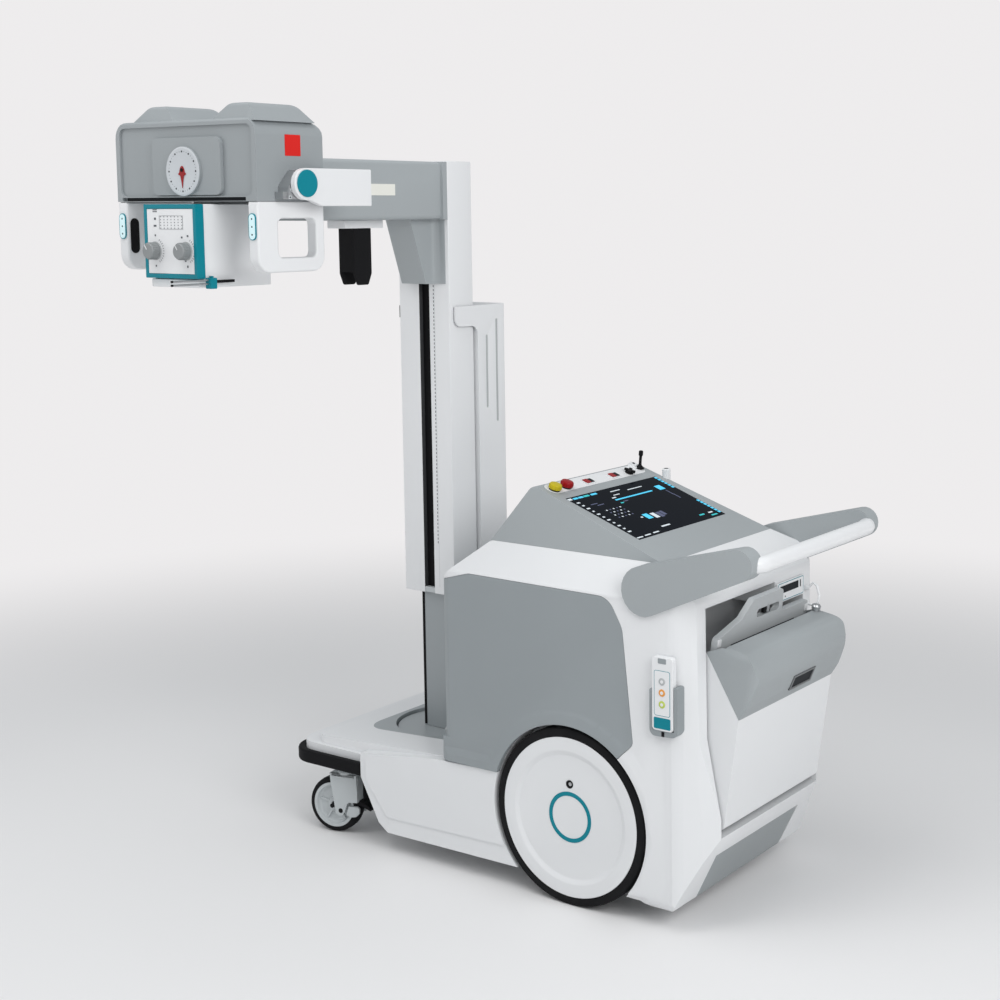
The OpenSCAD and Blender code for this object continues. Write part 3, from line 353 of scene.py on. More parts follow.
class Shape:                                # a mesh put together from several forms, all in machine millimetres
    def __init__(self):
        self.mesh = bmesh.new()

    def skin(self, rings, paint, capped=True):
        faces = []
        for low, high in zip(rings, rings[1:]):
            for k in range(len(low)):
                n = (k + 1) % len(low)
                faces.append(self.mesh.faces.new((low[k], low[n], high[n], high[k])))
        if capped:
            faces.append(self.mesh.faces.new(rings[0][::-1]))
            faces.append(self.mesh.faces.new(rings[-1]))
        for face in faces:
            face.material_index = paint

    def ring(self, points):
        return [self.mesh.verts.new(at(*point)) for point in points]

    # rows are radius and distance along the axis; the last row is the first again for a ring
    def lathe(self, rows, origin, axis, paint=0, steps=48):
        origin, axis = Vector(origin), Vector(axis).normalized()
        side = axis.orthogonal().normalized()
        other = axis.cross(side)
        turns = [side * cos(2 * pi * k / steps) + other * sin(2 * pi * k / steps) for k in range(steps)]
        closed = rows[0] == rows[-1]
        rings = [self.ring([origin + axis * along + turn * max(radius, 0.01) for turn in turns])
                 for radius, along in (rows[:-1] if closed else rows)]
        self.skin(rings + rings[:1] if closed else rings, paint, capped=not closed)

    def disc(self, radius, low, high, origin, axis, paint=0, steps=48):
        self.lathe([(0, low), (radius, low), (radius, high), (0, high)], origin, axis, paint, steps)

    # an outline in the plane of two directions, given a thickness along their normal
    def slab(self, outline, origin, across, upward, depth, paint=0):
        origin, across, upward = Vector(origin), Vector(across).normalized(), Vector(upward).normalized()
        normal = across.cross(upward)
        rings = [self.ring([origin + across * u + upward * v + normal * reach for u, v in outline])
                 for reach in (0, depth)]
        self.skin(rings, paint)

    # a slab with a box for its outline, given as two ends each way and the radius of its corners
    def plate(self, box, origin, plane, depth, paint=0, radius=0.0):
        self.slab(boxOutline(*box, radius), origin, *plane, depth, paint)

    # a round bar along a path of points
    def tube(self, points, radius, paint=0, steps=12):
        points = [Vector(point) for point in points]
        rings, side = [], None
        for k, point in enumerate(points):
            ahead = (points[min(k + 1, len(points) - 1)] - points[max(k - 1, 0)]).normalized()
            side = (ahead.orthogonal() if side is None else side - ahead * side.dot(ahead)).normalized()
            other = ahead.cross(side)
            turns = [2 * pi * n / steps for n in range(steps)]
            rings.append(self.ring([point + (side * cos(turn) + other * sin(turn)) * radius for turn in turns]))
        self.skin(rings, paint)

    def piece(self, name, body, slot, *finishNames, edge=0.0, segments=2, replaces=()):
        bmesh.ops.recalc_face_normals(self.mesh, faces=self.mesh.faces)
        mesh = bpy.data.meshes.new(name)
        self.mesh.to_mesh(mesh)
        self.mesh.free()
        shaded(mesh)
        if edge:
            mesh = bevelled(mesh, edge, segments)
        thing = newPiece(name, mesh, body, slot, *finishNames)
        if replaces:
            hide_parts(*replaces)


sideways = {"left": -1, "right": 1}
# the two directions of a flat form; it grows to the left, to the rear or upwards
leftward = ((1, 0, 0), (0, 0, 1))
rearward = ((0, 1, 0), (0, 0, 1))
upward = ((1, 0, 0), (0, 1, 0))


# ---- wheels ----
# rows of a lathe are radius and distance along the axle
rearWheel = {"centre": 275, "up": 217.5, "face": 294.1, "lockUp": 298.5,
             "tyre": [(195.6, -24), (211, -24), (215.4, -22.2), (217.2, -18), (217.4, -10), (215.2, -9), (215.2, -6.5),
                      (217.4, -5.5), (217.4, 5.5), (215.2, 6.5), (215.2, 9), (217.4, 10), (217.2, 18), (215.4, 22.2),
                      (211, 24), (195.6, 24), (195.6, -24)],
             "ring": [(52, 0), (52, 0.9), (62, 0.9), (62, 0), (52, 0)],
             "lock": [(0, 0), (10, 0), (10, 1.4), (7.5, 1.4), (7, 0.6), (0, 0.6)],
             "key": [(0, 0.4), (4.5, 0.4), (4.5, 1.6), (3.5, 2.2), (0, 2.2)]}
for name, side in sideways.items():
    outside, face = (0, side, 0), side * rearWheel["face"]
    tyre = Shape()
    tyre.lathe(rearWheel["tyre"], (0, side * rearWheel["centre"], rearWheel["up"]), outside, steps=128)
    tyre.piece("rearTyre" + name, name + "_wheel", "black_tyre", "tyre", replaces=["tyre_" + name])
    marks = Shape()
    marks.lathe(rearWheel["ring"], (0, face, rearWheel["up"]), outside, steps=72)
    marks.lathe(rearWheel["lock"], (0, face, rearWheel["lockUp"]), outside, 1, 28)
    marks.lathe(rearWheel["key"], (2.2, face, rearWheel["lockUp"] + 1), outside, 2, 20)
    marks.piece("wheelMarks" + name, name + "_wheel", "teal_plastic", "tealPlastic", "blackPlastic", "steel")

caster = {"pivot": (775, 240), "turn": 12, "trail": 38, "up": 75, "spokes": 5,
          "tyre": [(61, -20), (67, -20), (72, -17.5), (74.4, -11), (75, 0), (74.4, 11), (72, 17.5), (67, 20), (61, 20),
                   (61, -20)],
          "rim": [(0, -8), (8, -8), (9, -17), (19, -17), (21, -9), (45, -9), (50, -13), (53, -19.6), (60.9, -19.6),
                  (60.9, 19.6), (53, 19.6), (50, 13), (45, 9), (21, 9), (19, 17), (9, 17), (8, 8), (0, 8)],
          "stem": [(0, 164), (31, 164), (31, 170), (27, 173), (30, 176), (30, 186), (14, 186), (14, 215), (0, 215)],
          "spoke": [(19, -3.5), (47, -2.5), (47, 2.5), (19, 3.5)],
          "leg": [(-43, 166), (-40, 135), (-33, 96), (-29, 70), (-26, 57), (-17, 50), (-6, 52), (2, 66), (8, 84),
                  (14, 90), (40, 92), (41, 121), (39, 150), (39, 166)],
          "cam": [(4, 54), (12, 78), (39, 80), (45, 75), (44, 62), (34, 52), (18, 49)],
          "pedal": [(12, 92), (40, 96), (66, 84), (76, 74), (74, 70), (60, 76), (40, 82), (14, 80)]}


def casterAt(side, x, y, z):                # a point beside the caster's pivot, turned with the fork
    turn = radians(caster["turn"])
    return (-caster["pivot"][0] + x * cos(turn) - y * sin(turn),
            side * caster["pivot"][1] + x * sin(turn) + y * cos(turn), z)


casterAlong = Vector((cos(radians(caster["turn"])), sin(radians(caster["turn"])), 0))
casterAcross = Vector((-casterAlong[1], casterAlong[0], 0))
for name, side in sideways.items():
    middle = casterAt(side, -caster["trail"], 0, caster["up"])
    roll = Shape()
    roll.lathe(caster["tyre"], middle, casterAcross, steps=72)
    roll.piece("casterTyre" + name, name + "_caster", "black_tyre", "tyre", replaces=["caster_tyre_" + name])
    rim = Shape()
    rim.lathe(caster["rim"], middle, casterAcross, steps=60)
    for face in (-1, 1):
        for k in range(caster["spokes"]):
            turn = 2 * pi * (k + 0.3) / caster["spokes"]
            ray = casterAlong * cos(turn) + Vector((0, 0, sin(turn)))
            other = casterAcross.cross(ray) * face
            rim.slab(caster["spoke"], Vector(middle) + casterAcross * 8 * face, ray, other, 5)
        rim.disc(7.6, 8, 9, middle, casterAcross * face, 1, 24)
        rim.disc(5.9, 8, 30, middle, casterAcross * face, 1, 24)
    rim.piece("casterRim" + name, name + "_caster", "steel", "zincGrey", "blackPlastic", edge=0.8,
              replaces=["caster_hub_" + name])
    fork = Shape()
    for face in (-1, 1):
        plates = [[(-face * x, z) for x, z in caster[word]][::-face] for word in ("leg", "cam")]
        fork.slab(plates[0], casterAt(side, 0, face * 24.5, 0), casterAlong * -face, (0, 0, 1), 5)
        fork.disc(6.5, 0, 0.8, casterAt(side, -11, face * 29.5, 65), casterAcross * face, 1, 24)
        fork.slab(plates[1], casterAt(side, 0, face * 21, 0), casterAlong * -face, (0, 0, 1), 6)
    fork.slab(boxOutline(-43, 39, -29.5, 29.5, 6), casterAt(side, 0, 0, 158), casterAlong, casterAcross, 8)
    fork.slab(boxOutline(36, 40.5, -24.6, 24.6), casterAt(side, 0, 0, 92), casterAlong, casterAcross, 66)
    fork.lathe(caster["stem"], casterAt(side, 0, 0, 0), (0, 0, 1), 0, 48)
    fork.slab([(-x, z) for x, z in caster["pedal"]], casterAt(side, 0, -19, 0), casterAlong * -1, (0, 0, 1), 38, 1)
    fork.piece("casterFork" + name, name + "_fork", "steel", "zincGrey", "blackPlastic", edge=1.0,
               replaces=["caster_fork_" + name])
print("wheels and casters made")


# ---- base and body ----
base = {"strip": (-848, -824, -88, 112), "stripUp": 262.9, "stripPlane": ((1, 0, 0.02), (0, 1, 0)),
        "foot": (-587, -46, 258), "footRows": [(0, 0), (15, 0), (15, 5), (11, 10), (0, 11.5)],
        "nose": (-288, 288, 122, 186), "noseX": -679}
x0, x1, y0, y1 = base["strip"]
deck = Shape()
deck.plate((x0, x1, y0, y1), (0, 0, base["stripUp"]), base["stripPlane"], 1.1, 0, 4)
deck.plate((x0 + 5, x1 - 5, y0 + 5, y1 - 5), (0, 0, base["stripUp"] + 1), base["stripPlane"], 0.8, 1, 2)
deck.piece("deckStrip", "chassis", "white_shell", "grooveGrey", "shellWhite", edge=0.3)
foot = Shape()
foot.lathe(base["footRows"], base["foot"], (0, 0, 1), 0, 28)
foot.piece("columnFoot", "mast", "grey_paint", "grooveGrey")
# painted shade: a thin black panel on the wall under the nose stands for the shadow behind the front casters
noseShade = Shape()
noseShade.plate(base["nose"], (base["noseX"], 0, 0), ((0, -1, 0), (0, 0, 1)), 0.8)
noseShade.piece("noseShadePanel", "chassis", "black_plastic", "blackPlastic")
print("base trimmed")


# ---- console ----
consoleFace = {"slope": radians(19.7), "rear": 236, "hood": 850}
faceUp = Vector((-cos(consoleFace["slope"]), 0, sin(consoleFace["slope"])))
faceOut = Vector((sin(consoleFace["slope"]), 0, cos(consoleFace["slope"])))
facePlane = ((0, 1, 0), faceUp)


def faceAt(up, y, lift=0.0):                # a point on the sloped face, and how far above it
    slope = consoleFace["slope"]
    return (consoleFace["rear"] - up * cos(slope) + lift * sin(slope), y,
            consoleFace["hood"] + up * sin(slope) + lift * cos(slope))


# blocks of light on the screen; columns: place up the face, place across, length, width, paint
screenBlocks = [(326, -187, 14, 8, 1), (325, -166, 18, 7, 0), (325, -145, 18, 7, 0), (325, -122, 22, 7, 2),
                (325, -92, 24, 7, 0), (285, -142, 26, 3, 3), (276, -126, 26, 3, 3), (317, -12, 40, 3, 1),
                (308, 62, 62, 3, 1), (300, -28, 26, 3, 1), (279, 20, 160, 5, 0), (290, -52, 16, 4, 1),
                (262, -54, 12, 4, 2), (266, -34, 20, 3, 3), (284, 142, 24, 22, 0), (254, 146, 4, 26, 3),
                (232, 148, 4, 24, 3), (184, -52, 20, 24, 0), (180, -26, 16, 24, 1), (178, -6, 14, 24, 3),
                (181, 10, 12, 20, 3), (186, -74, 8, 5, 1), (131, -48, 36, 5, 1), (115, -180, 24, 4, 1),
                (116, -146, 24, 4, 1), (117, -110, 24, 4, 1), (131, 116, 22, 5, 2), (131, 156, 18, 5, 1),
                (118, 156, 26, 5, 2)]
screenBlocks += [(305 - 15.8 * k, -180, (11, 8, 12, 7)[k % 4], 5, 1) for k in range(11)]
screenBlocks += [(248 - 13 * row, -138 + 14 * column, 5, 4, (1, 3)[(row * 3 + column) % 2])
                 for row in range(4) for column in range(5)]
screenBlocks += [(start - 11 * k, 187, 9, 8, 0) for start, count in ((328, 6), (190, 7)) for k in range(count)]
glow = Shape()
for up, y, length, width, paint in screenBlocks:
    glow.plate((y - length / 2, y + length / 2, up - width / 2, up + width / 2), faceAt(0, 0, 0.3), facePlane, 0.25,
               paint)
glow.piece("screenBlocks", "chassis", "screen_glass", "cyanGlow", "paleGlow", "tealGlow", "dimGlow")

strip = {"up": 380, "yellow": -182, "red": -135, "rockers": (-43, 66), "cross": 130, "stick": 190, "lock": (401, 180),
         "mushroom": [(0, 4), (14, 4), (16, 6), (16, 14), (14.4, 16.6), (10, 17.8), (0, 18.2)],
         "stickRows": [(0, 1.2), (12, 1.2), (12, 3), (8, 7), (5, 10), (3.8, 14), (3.8, 34), (5.8, 37), (5.8, 47),
                       (4, 49), (0, 49)],
         "lockRows": [(0, 0.5), (14, 0.5), (14, 4), (10, 5), (10, 10), (0, 10)]}
buttons = Shape()
for place, paint in ((strip["yellow"], 0), (strip["red"], 1)):
    buttons.disc(14, 1.2, 5, faceAt(strip["up"], place), faceOut, 2, 32)
    buttons.lathe(strip["mushroom"], faceAt(strip["up"], place), faceOut, paint, 40)
    for k in range(10):                     # ribs for the fingers
        turn = 2 * pi * k / 10
        up, y = strip["up"] + 15.9 * sin(turn), place + 15.9 * cos(turn)
        buttons.tube([faceAt(up, y, level) for level in (6.5, 13.5)], 1.2, paint, 8)
buttons.piece("mushroomButtons", "chassis", "signal_red", "yellowPlastic", "redPlastic", "blackPlastic",
              replaces=["console_buttons"])
keys = Shape()
for place in strip["rockers"]:
    low, high = strip["up"] - 9, strip["up"] + 9
    keys.plate((place - 19, place + 19, low - 3, high + 3), faceAt(0, 0, 1.2), facePlane, 2.2, 1, 3)
    keys.plate((place - 16, place, low, high), faceAt(0, 0, 3.4), facePlane, 2.4, 2)
    keys.plate((place, place + 16, low, high), faceAt(0, 0, 3.4), facePlane, 1.2, 0)
keys.disc(11, 1.2, 6, faceAt(strip["up"] - 4, strip["cross"]), faceOut, 0, 32)
for turn in (25, 115):
    across = Vector((0, cos(radians(turn)), 0)) + faceUp * sin(radians(turn))
    keys.plate((-15, 15, -4.5, 4.5), faceAt(strip["up"] - 4, strip["cross"], 6), (across, faceOut.cross(across)), 5,
               0, 3)
keys.lathe(strip["stickRows"], faceAt(strip["up"] + 4, strip["stick"]), (0.1, 0, 1), 0, 28)
keys.lathe(strip["lockRows"], faceAt(*strip["lock"]), faceOut, 1, 28)
keys.disc(4, 10, 11, faceAt(*strip["lock"]), faceOut, 0, 20)
keys.piece("stripKeys", "chassis", "black_plastic", "blackPlastic", "whitePlastic", "redPlastic", edge=0.5,
           replaces=["console_switches"])
hosePost = {"foot": (-66, 226, 886), "rows": [(0, 0), (14, 0), (14, 12), (11, 16), (11, 92), (9, 95), (0, 95)]}
peg = Shape()
peg.lathe(hosePost["rows"], hosePost["foot"], (0, 0, 1), 0, 32)
peg.disc(5.5, 94.5, 95.6, hosePost["foot"], (0, 0, 1), 1, 24)
peg.piece("hosePost", "chassis", "white_plastic", "whitePlastic", "inkBlack")
print("console dressed")


# ---- remote control and reader plate ----
remoteFace = {"y": -317, "x": (254.5, 303.5), "band": (489, 515), "sheet": (519, 624), "keyX": 279,
              "keys": ((599, 1), (573, 2), (546, 3)), "lens": (268, 290, 640, 652), "plug": (275, 283, 470, 482),
              "keyRows": [(0, 0.4), (8.5, 0.4), (8.5, 1.2), (7.4, 1.6), (0, 1.6)]}
x0, x1 = remoteFace["x"]
low, high = remoteFace["sheet"]
front = (0, remoteFace["y"], 0)
remote = Shape()
remote.plate((x0 + 2, x1 - 2, *remoteFace["band"]), front, leftward, 0.5, 0, 3)
remote.plate((x0 + 3, x1 - 3, low, high), front, leftward, 0.35, 0, 5)
remote.plate((x0 + 4.2, x1 - 4.2, low + 1.2, high - 1.2), front, leftward, 0.5, 4, 4)
for up, paint in remoteFace["keys"]:
    remote.lathe(remoteFace["keyRows"], (remoteFace["keyX"], remoteFace["y"], up), (0, -1, 0), paint, 28)
    remote.disc(4, 1.5, 1.9, (remoteFace["keyX"], remoteFace["y"], up), (0, -1, 0), 4, 20)
remote.plate(remoteFace["lens"], (0, remoteFace["y"] + 1, 0), leftward, 1.6, 5, 2)
remote.plate(remoteFace["plug"], (0, remoteFace["y"] + 3, 0), leftward, 0.5, 6, 1)
remote.piece("remoteFace", "chassis", "white_plastic", "tealPlastic", "grooveGrey", "orangePlastic", "greenPlastic",
             "whitePlastic", "claddingGrey", "blackPlastic", edge=0.2)

readerPlate = {"x": 344, "edge": (96, 222, 704.5, 748.5), "field": (97.6, 220.4, 706.1, 746.9),
               "slots": ((106, 196, 723, 741), (203, 208, 723, 741)), "lamp": (344, 130, 713)}
rear = (readerPlate["x"], 0, 0)
reader = Shape()
reader.plate(readerPlate["edge"], rear, rearward, 0.25, 0, 4)
reader.plate(readerPlate["field"], rear, rearward, 0.35, 1, 3)
for slot in readerPlate["slots"]:
    reader.plate(slot, rear, rearward, 0.6, 2, 1)
reader.disc(2, 0, 0.6, readerPlate["lamp"], (1, 0, 0), 2, 16)
reader.piece("readerFace", "chassis", "white_plastic", "tealPlastic", "whitePlastic", "inkBlack")
print("small panels made")


# ---- detector and bin ----
lean = {"corner": (385, 0, 243), "angle": radians(8.2)}


def leanAt(x, y, z):                        # a point in the leaning bin's own frame
    turn = lean["angle"]
    return (lean["corner"][0] + x * cos(turn) + z * sin(turn), y,
            lean["corner"][2] - x * sin(turn) + z * cos(turn))


leanOut = (cos(lean["angle"]), 0, -sin(lean["angle"]))
leanUp = (sin(lean["angle"]), 0, cos(lean["angle"]))
leanPlane = ((0, 1, 0), leanUp)
detector = {"face": -86, "corners": (-204, 204), "groove": (-150, 150, 404, 407), "slot": (-4, 26, 450, 466),
            "bolt": [(0, -12), (7, -12), (7, -3), (5, 0), (0, 0)], "catch": (4, 16, 452, 476)}
latch = Shape()
for y in detector["corners"]:
    latch.plate((y - 7, y + 7, 414, 431), leanAt(detector["face"] - 1, 0, 0), leanPlane, 3, 1, 2)
latch.plate(detector["groove"], leanAt(detector["face"] + 0.05, 0, 0), leanPlane, 0.4, 2)
latch.plate(detector["slot"], leanAt(detector["face"] - 11, 0, 0), leanPlane, 8, 2, 3)
latch.lathe(detector["bolt"], leanAt(detector["face"] - 2, 10, 459), leanOut, 0, 24)
latch.plate(detector["catch"], leanAt(detector["face"] - 4, 0, 0), leanPlane, 4, 0, 3)
latch.piece("detectorLatch", "bin", "steel", "steel", "whitePlastic", "blackPlastic", edge=0.6)

hood = {"knob": (391, 198, 662), "window": (20.4, 26, 313), "lean": radians(23.2), "pane": (-46, 46, -15, 15),
        "knobRows": [(0, -2), (13, -2), (13, 3), (7, 4), (6, 10), (11, 12), (12, 20), (9, 24), (0, 25)],
        "bars": ((-52, 52, -20, -15), (-52, 52, 15, 20), (-52, -46, -15, 15), (46, 52, -15, 15))}
knob = Shape()
knob.lathe(hood["knobRows"], hood["knob"], (0.15, 0, 1), 0, 32)
knob.plate((-4, 4, -16, 16), (hood["knob"][0], hood["knob"][1], hood["knob"][2] + 2), upward, 4, 0, 4)
knob.piece("hoodKnob", "bin", "steel", "steel")
windowOut = Vector((cos(hood["lean"]), 0, -sin(hood["lean"])))
windowPlane = ((0, 1, 0), (sin(hood["lean"]), 0, cos(hood["lean"])))
middle = Vector(leanAt(*hood["window"])) - windowOut
pane = Shape()
for bar in hood["bars"]:
    pane.plate(bar, middle, windowPlane, 2.2)
pane.plate(hood["pane"], middle, windowPlane, 0.3, 1)
pane.piece("hoodWindow", "bin", "grey_cladding", "windowGrey", "inkBlack", edge=0.3)

cable = {"radius": 3.2, "inlet": (340, 236, 712), "inletRows": [(0, 0), (7, 0), (7, 10), (4.5, 14), (0, 14)],
         "path": [(352, 236, 716), (362, 240, 728), (374, 238, 722), (384, 232, 700), (384, 226, 684), (372, 222, 676),
                  (352, 220, 678)]}
stub = Shape()
stub.tube(cable["path"], cable["radius"], 0, 14)
stub.lathe(cable["inletRows"], cable["inlet"], (1, 0, 0.35), 0, 20)
stub.piece("cableStub", "chassis", "white_plastic", "whitePlastic")
print("bin dressed")


# ---- mast ----
mast = {"x": -637, "front": -60, "slot": (-654.5, -619.5), "slotDressing": -45.8, "foot": 634, "top": 1757, "dashX": -604.6,
        "dashes": 97, "dashFoot": 772, "dashStep": 10, "towerHalf": 97, "seal": (-678, -669, 262, 700),
        "grooves": ((77, 1126, 1322), (118, 1085, 1363))}
slotX0, slotX1 = mast["slot"]
foot, top = mast["foot"], mast["top"]
face = (0, mast["front"] + 0.1, 0)
slotDressing = Shape()
slotDressing.plate((slotX0 - 6, slotX1 + 6, foot + 15, top), (0, mast["slotDressing"], 0), leftward, 0.9)
# painted shade: two dark grey strips on the slot's left wall stand for the shade inside the slot
slotDressing.plate((-52, -46.6, foot + 14, top), (slotX0 + 0.02, 0, 0), rearward, 0.5, 3)
slotDressing.plate((slotX0, slotX0 + 0.6, foot + 14, top), (0, -52, 0), leftward, 7.8, 3)
slotDressing.plate((slotX0 + 0.1, slotX1 - 0.1, foot + 1, foot + 15), (0, -46.7, 0), leftward, 12, 1)
slotDressing.plate((slotX1 + 0.4, slotX1 + 17.4, foot + 20, foot + 122), face, leftward, 0.25, 2)
slotDressing.plate((slotX1 + 17.4, slotX1 + 18.2, foot + 20, top), face, leftward, 0.25, 1)
for k in range(mast["dashes"]):             # the scale beside the slot
    low = mast["dashFoot"] + mast["dashStep"] * k
    slotDressing.plate((mast["dashX"] - 1, mast["dashX"] + 1, low, low + 5.4), face, leftward, 0.3, 4)
slotDressing.piece("columnSlot", "column", "black_rubber", "blackRubber", "zincGrey", "shellWhite", "slotWallShade", "inkBlack")
grooves = Shape()
for side in (-1, 1):
    face = (mast["x"] + side * (mast["towerHalf"] - 2.9), 0, 0)
    for y, low, high in mast["grooves"]:
        grooves.plate((side * y - 4.3, side * y + 4.3, low + 0.3, high - 0.3), face, ((0, side, 0), (0, 0, 1)), 0.6, 0,
                      4.2)
grooves.piece("towerGrooves", "mast", "grey_paint", "grooveGrey")
seal = Shape()
seal.plate(mast["seal"], (0, -45.05, 0), leftward, 0.3)
seal.piece("columnSeal", "mast", "black_rubber", "blackRubber")
print("mast dressed")


# ---- arm and yoke ----
arm = {"side": -560, "plate": (-333, -245, 1688.5, 1716.5), "pin": (-367, -731, 1711), "boltX": -382,
       "cap": [(0, 0), (29.6, 0), (29.6, 2.2), (28.8, 2.9), (0, 2.9)],
       "bolts": ((-763, 1697), (-768, 1681), (-702, 1690))}
sign = Shape()
sign.plate(arm["plate"], (arm["side"], 0, 0), rearward, 0.7, 0, 1.5)
sign.piece("armPlate", "arm", "white_plastic", "ivoryPlastic", edge=0.2)
cap = Shape()
cap.lathe(arm["cap"], arm["pin"], (1, 0, 0), 0, 64)
cap.piece("yokeDisc", "yoke_arm", "teal_plastic", "tealPlastic", replaces=["yoke_cap"])
bolts = Shape()
for place in arm["bolts"]:
    bolts.disc(4.2, 0, 1.2, (arm["boltX"], *place), (1, 0, 0), 0, 20)
    bolts.disc(2, 1.1, 1.4, (arm["boltX"], *place), (1, 0, 0), 1, 6)
bolts.piece("bracketBolts", "tube_head", "steel", "zincGrey", "inkBlack")
print("arm dressed")


# ---- tube head ----
head = {"front": -832, "side": -415, "dialUp": 1739, "markRing": 43.5, "redPlate": (-747.5, -701.5, 1771, 1817),
        "dialRows": [(0, 8.6), (54, 8.6), (54, 9.6), (50.5, 10.6), (49, 10.2), (0, 10.2)],
        "needle": [(0, -37), (3, -20), (5.5, -10), (13, -6), (8.5, -2), (7, 4), (4, 10), (0, 12), (-4, 10), (-7, 4),
                   (-8.5, -2), (-13, -6), (-5.5, -10), (-3, -20)],
        "hub": [(0, 1), (4, 1), (4, 2.4), (0, 2.6)], "pads": (-856, -430), "padUp": (1589, 1647),
        "padDots": (1601, 1618, 1635), "triggers": ((-841, 1), (-445, -1)), "slit": (-846, -452, 1674.4, 1681.6)}
dial = Shape()
dial.lathe(head["dialRows"], (mast["x"], head["front"], head["dialUp"]), (0, -1, 0), 0, 72)
# a large mark every 30 degrees, then the small ones between them
for count, radius, height, steps in ((12, 2.1, 0.3, 12), (36, 0.8, 0.25, 8)):
    for k in range(count):
        if count == 12 or k % 3:
            turn = 2 * pi * k / count
            dial.disc(radius, 0, height, (mast["x"] + head["markRing"] * sin(turn), head["front"] - 10.1,
                                          head["dialUp"] + head["markRing"] * cos(turn)), (0, -1, 0), 1, steps)
dial.slab(head["needle"], (mast["x"], head["front"] - 10.4, head["dialUp"]), *leftward, 1.2, 2)
dial.lathe(head["hub"], (mast["x"], head["front"] - 10.4, head["dialUp"] + 3), (0, -1, 0), 3, 20)
dial.piece("angleDial", "tube_head", "white_plastic", "dialWhite", "inkBlack", "redPlastic", "blackPlastic")
badge = Shape()
badge.plate(head["redPlate"], (head["side"], 0, 0), rearward, 0.6, 0, 1)
badge.piece("redPlate", "tube_head", "signal_red", "redPlate")
pads = Shape()
low, high = head["padUp"]
for x in head["pads"]:
    pads.plate((x - 11, x + 11, low, high), (0, head["front"] - 0.1, 0), leftward, 2.6, 0, 10.9)
    pads.plate((x - 9.2, x + 9.2, low + 1.8, high - 1.8), (0, head["front"] - 2.6, 0), leftward, 0.5, 1, 9.1)
    for z in head["padDots"]:
        pads.disc(2, 0, 0.3, (x, head["front"] - 3.0, z), (0, -1, 0), 2, 14)
pads.piece("gripPads", "tube_head", "screen_glass", "tealPlastic", "padGlow", "inkBlack", replaces=["head_pads"])
triggers = Shape()
for x, side in head["triggers"]:
    ends = sorted((-825 * side, -801 * side))
    triggers.plate((*ends, 1556, 1636), (x, 0, 0), ((0, side, 0), (0, 0, 1)), 1.6, 0, 11.9)
triggers.piece("gripTriggers", "tube_head", "black_plastic", "blackPlastic", edge=0.5)
slit = Shape()
slit.plate(head["slit"], (0, -824, 0), leftward, 0.8)
slit.piece("headSlit", "tube_head", "black_plastic", "inkBlack")
print("head dressed")


# ---- collimator ----
lightBox = {"face": -882, "knobs": (-687, -587), "knobUp": 1565, "rodX": -546, "rodUps": (1494, 1502),
            "grid": (-668, 1614, 11.5, 6.2, 7, 5),
            "marks": ((-670.5, -595, 1612.5, 1613.1), (-670.5, -595, 1641.5, 1642.1), (-671, -670.4, 1612.5, 1642),
                      (-595, -594.4, 1612.5, 1642), (-688, -682, 1633, 1638), (-690, -681, 1618, 1622),
                      (-688.5, -684.5, 1530, 1534), (-585, -581, 1529, 1534), (-592, -587, 1542, 1546),
                      (-602, -597, 1593, 1597), (-583, -578, 1596, 1600), (-688, -684, 1597, 1601)),
            "knobRows": [(0, 0.7), (18.2, 0.7), (18.2, 3), (17.6, 19), (16, 21.8), (0, 22)],
            "clamps": (((-859, -841, 1483, 1507), -554.6, 16.4, 1, 2), ((-853, -847, 1506, 1511), -550, 8, 1, 1),
                       ((-841, -787, 1495.5, 1501.8), -549.6, 7.2, 2, 1))}
face = (0, lightBox["face"] - 0.1, 0)
gridX, gridZ, stepX, stepZ, columns, rows = lightBox["grid"]
panel = Shape()
for k in range(3):
    panel.plate((-692, -678, 1650 + 4 * k, 1652 + 4 * k), face, leftward, 0.3)
for column in range(columns):
    for row in range(rows):
        x, z = gridX + stepX * column, gridZ + stepZ * row
        panel.plate((x, x + 2, z, z + 2), face, leftward, 0.3)
for mark in lightBox["marks"]:
    panel.plate(mark, face, leftward, 0.3)
for x in lightBox["knobs"]:
    for k in range(-5, 6):
        turn = radians(12 * k)
        ray = ((cos(turn), 0, sin(turn)), (-sin(turn), 0, cos(turn)))
        panel.plate((25, 29, -0.5, 0.5), (x, face[1], lightBox["knobUp"]), ray, 0.3)
panel.piece("panelMarks", "light_box", "black_plastic", "printGrey")
knobs = Shape()
for x in lightBox["knobs"]:
    up, out = lightBox["knobUp"], lightBox["face"]
    knobs.disc(20.5, 0, 2, (x, out - 0.3, up), (0, -1, 0), 1, 40)
    knobs.lathe(lightBox["knobRows"], (x, out - 1, up), (0, -1, 0), 0, 48)
    for k in range(24):                     # ribs for the fingers
        turn = 2 * pi * k / 24
        knobs.tube([(x + 17.9 * cos(turn), out - reach, up + 17.9 * sin(turn)) for reach in (3, 19.5)], 1.1, 0, 6)
    knobs.plate((-1, 1, 4, 16), (x, out - 23, up), ((cos(0.6), 0, sin(0.6)), (-sin(0.6), 0, cos(0.6))), 0.4, 2)
knobs.piece("fieldKnobs", "light_box", "grey_cladding", "knobGrey", "grooveGrey", "whitePlastic",
            replaces=["collimator_knobs"])
rods = Shape()
for z in lightBox["rodUps"]:
    rods.tube([(lightBox["rodX"], y, z) for y in (-960, -920, -880, -843)], 2.2, 0, 14)
    rods.disc(2.6, 0, 4, (lightBox["rodX"], -960, z), (0, 1, 0), 2, 14)
for box, x, depth, paint, radius in lightBox["clamps"]:
    rods.plate(box, (x, 0, 0), rearward, depth, paint, radius)
rods.piece("measuringRods", "light_box", "teal_plastic", "steel", "tealPlastic", "blackPlastic", edge=0.4,
           replaces=["ruler"])
print("collimator dressed")


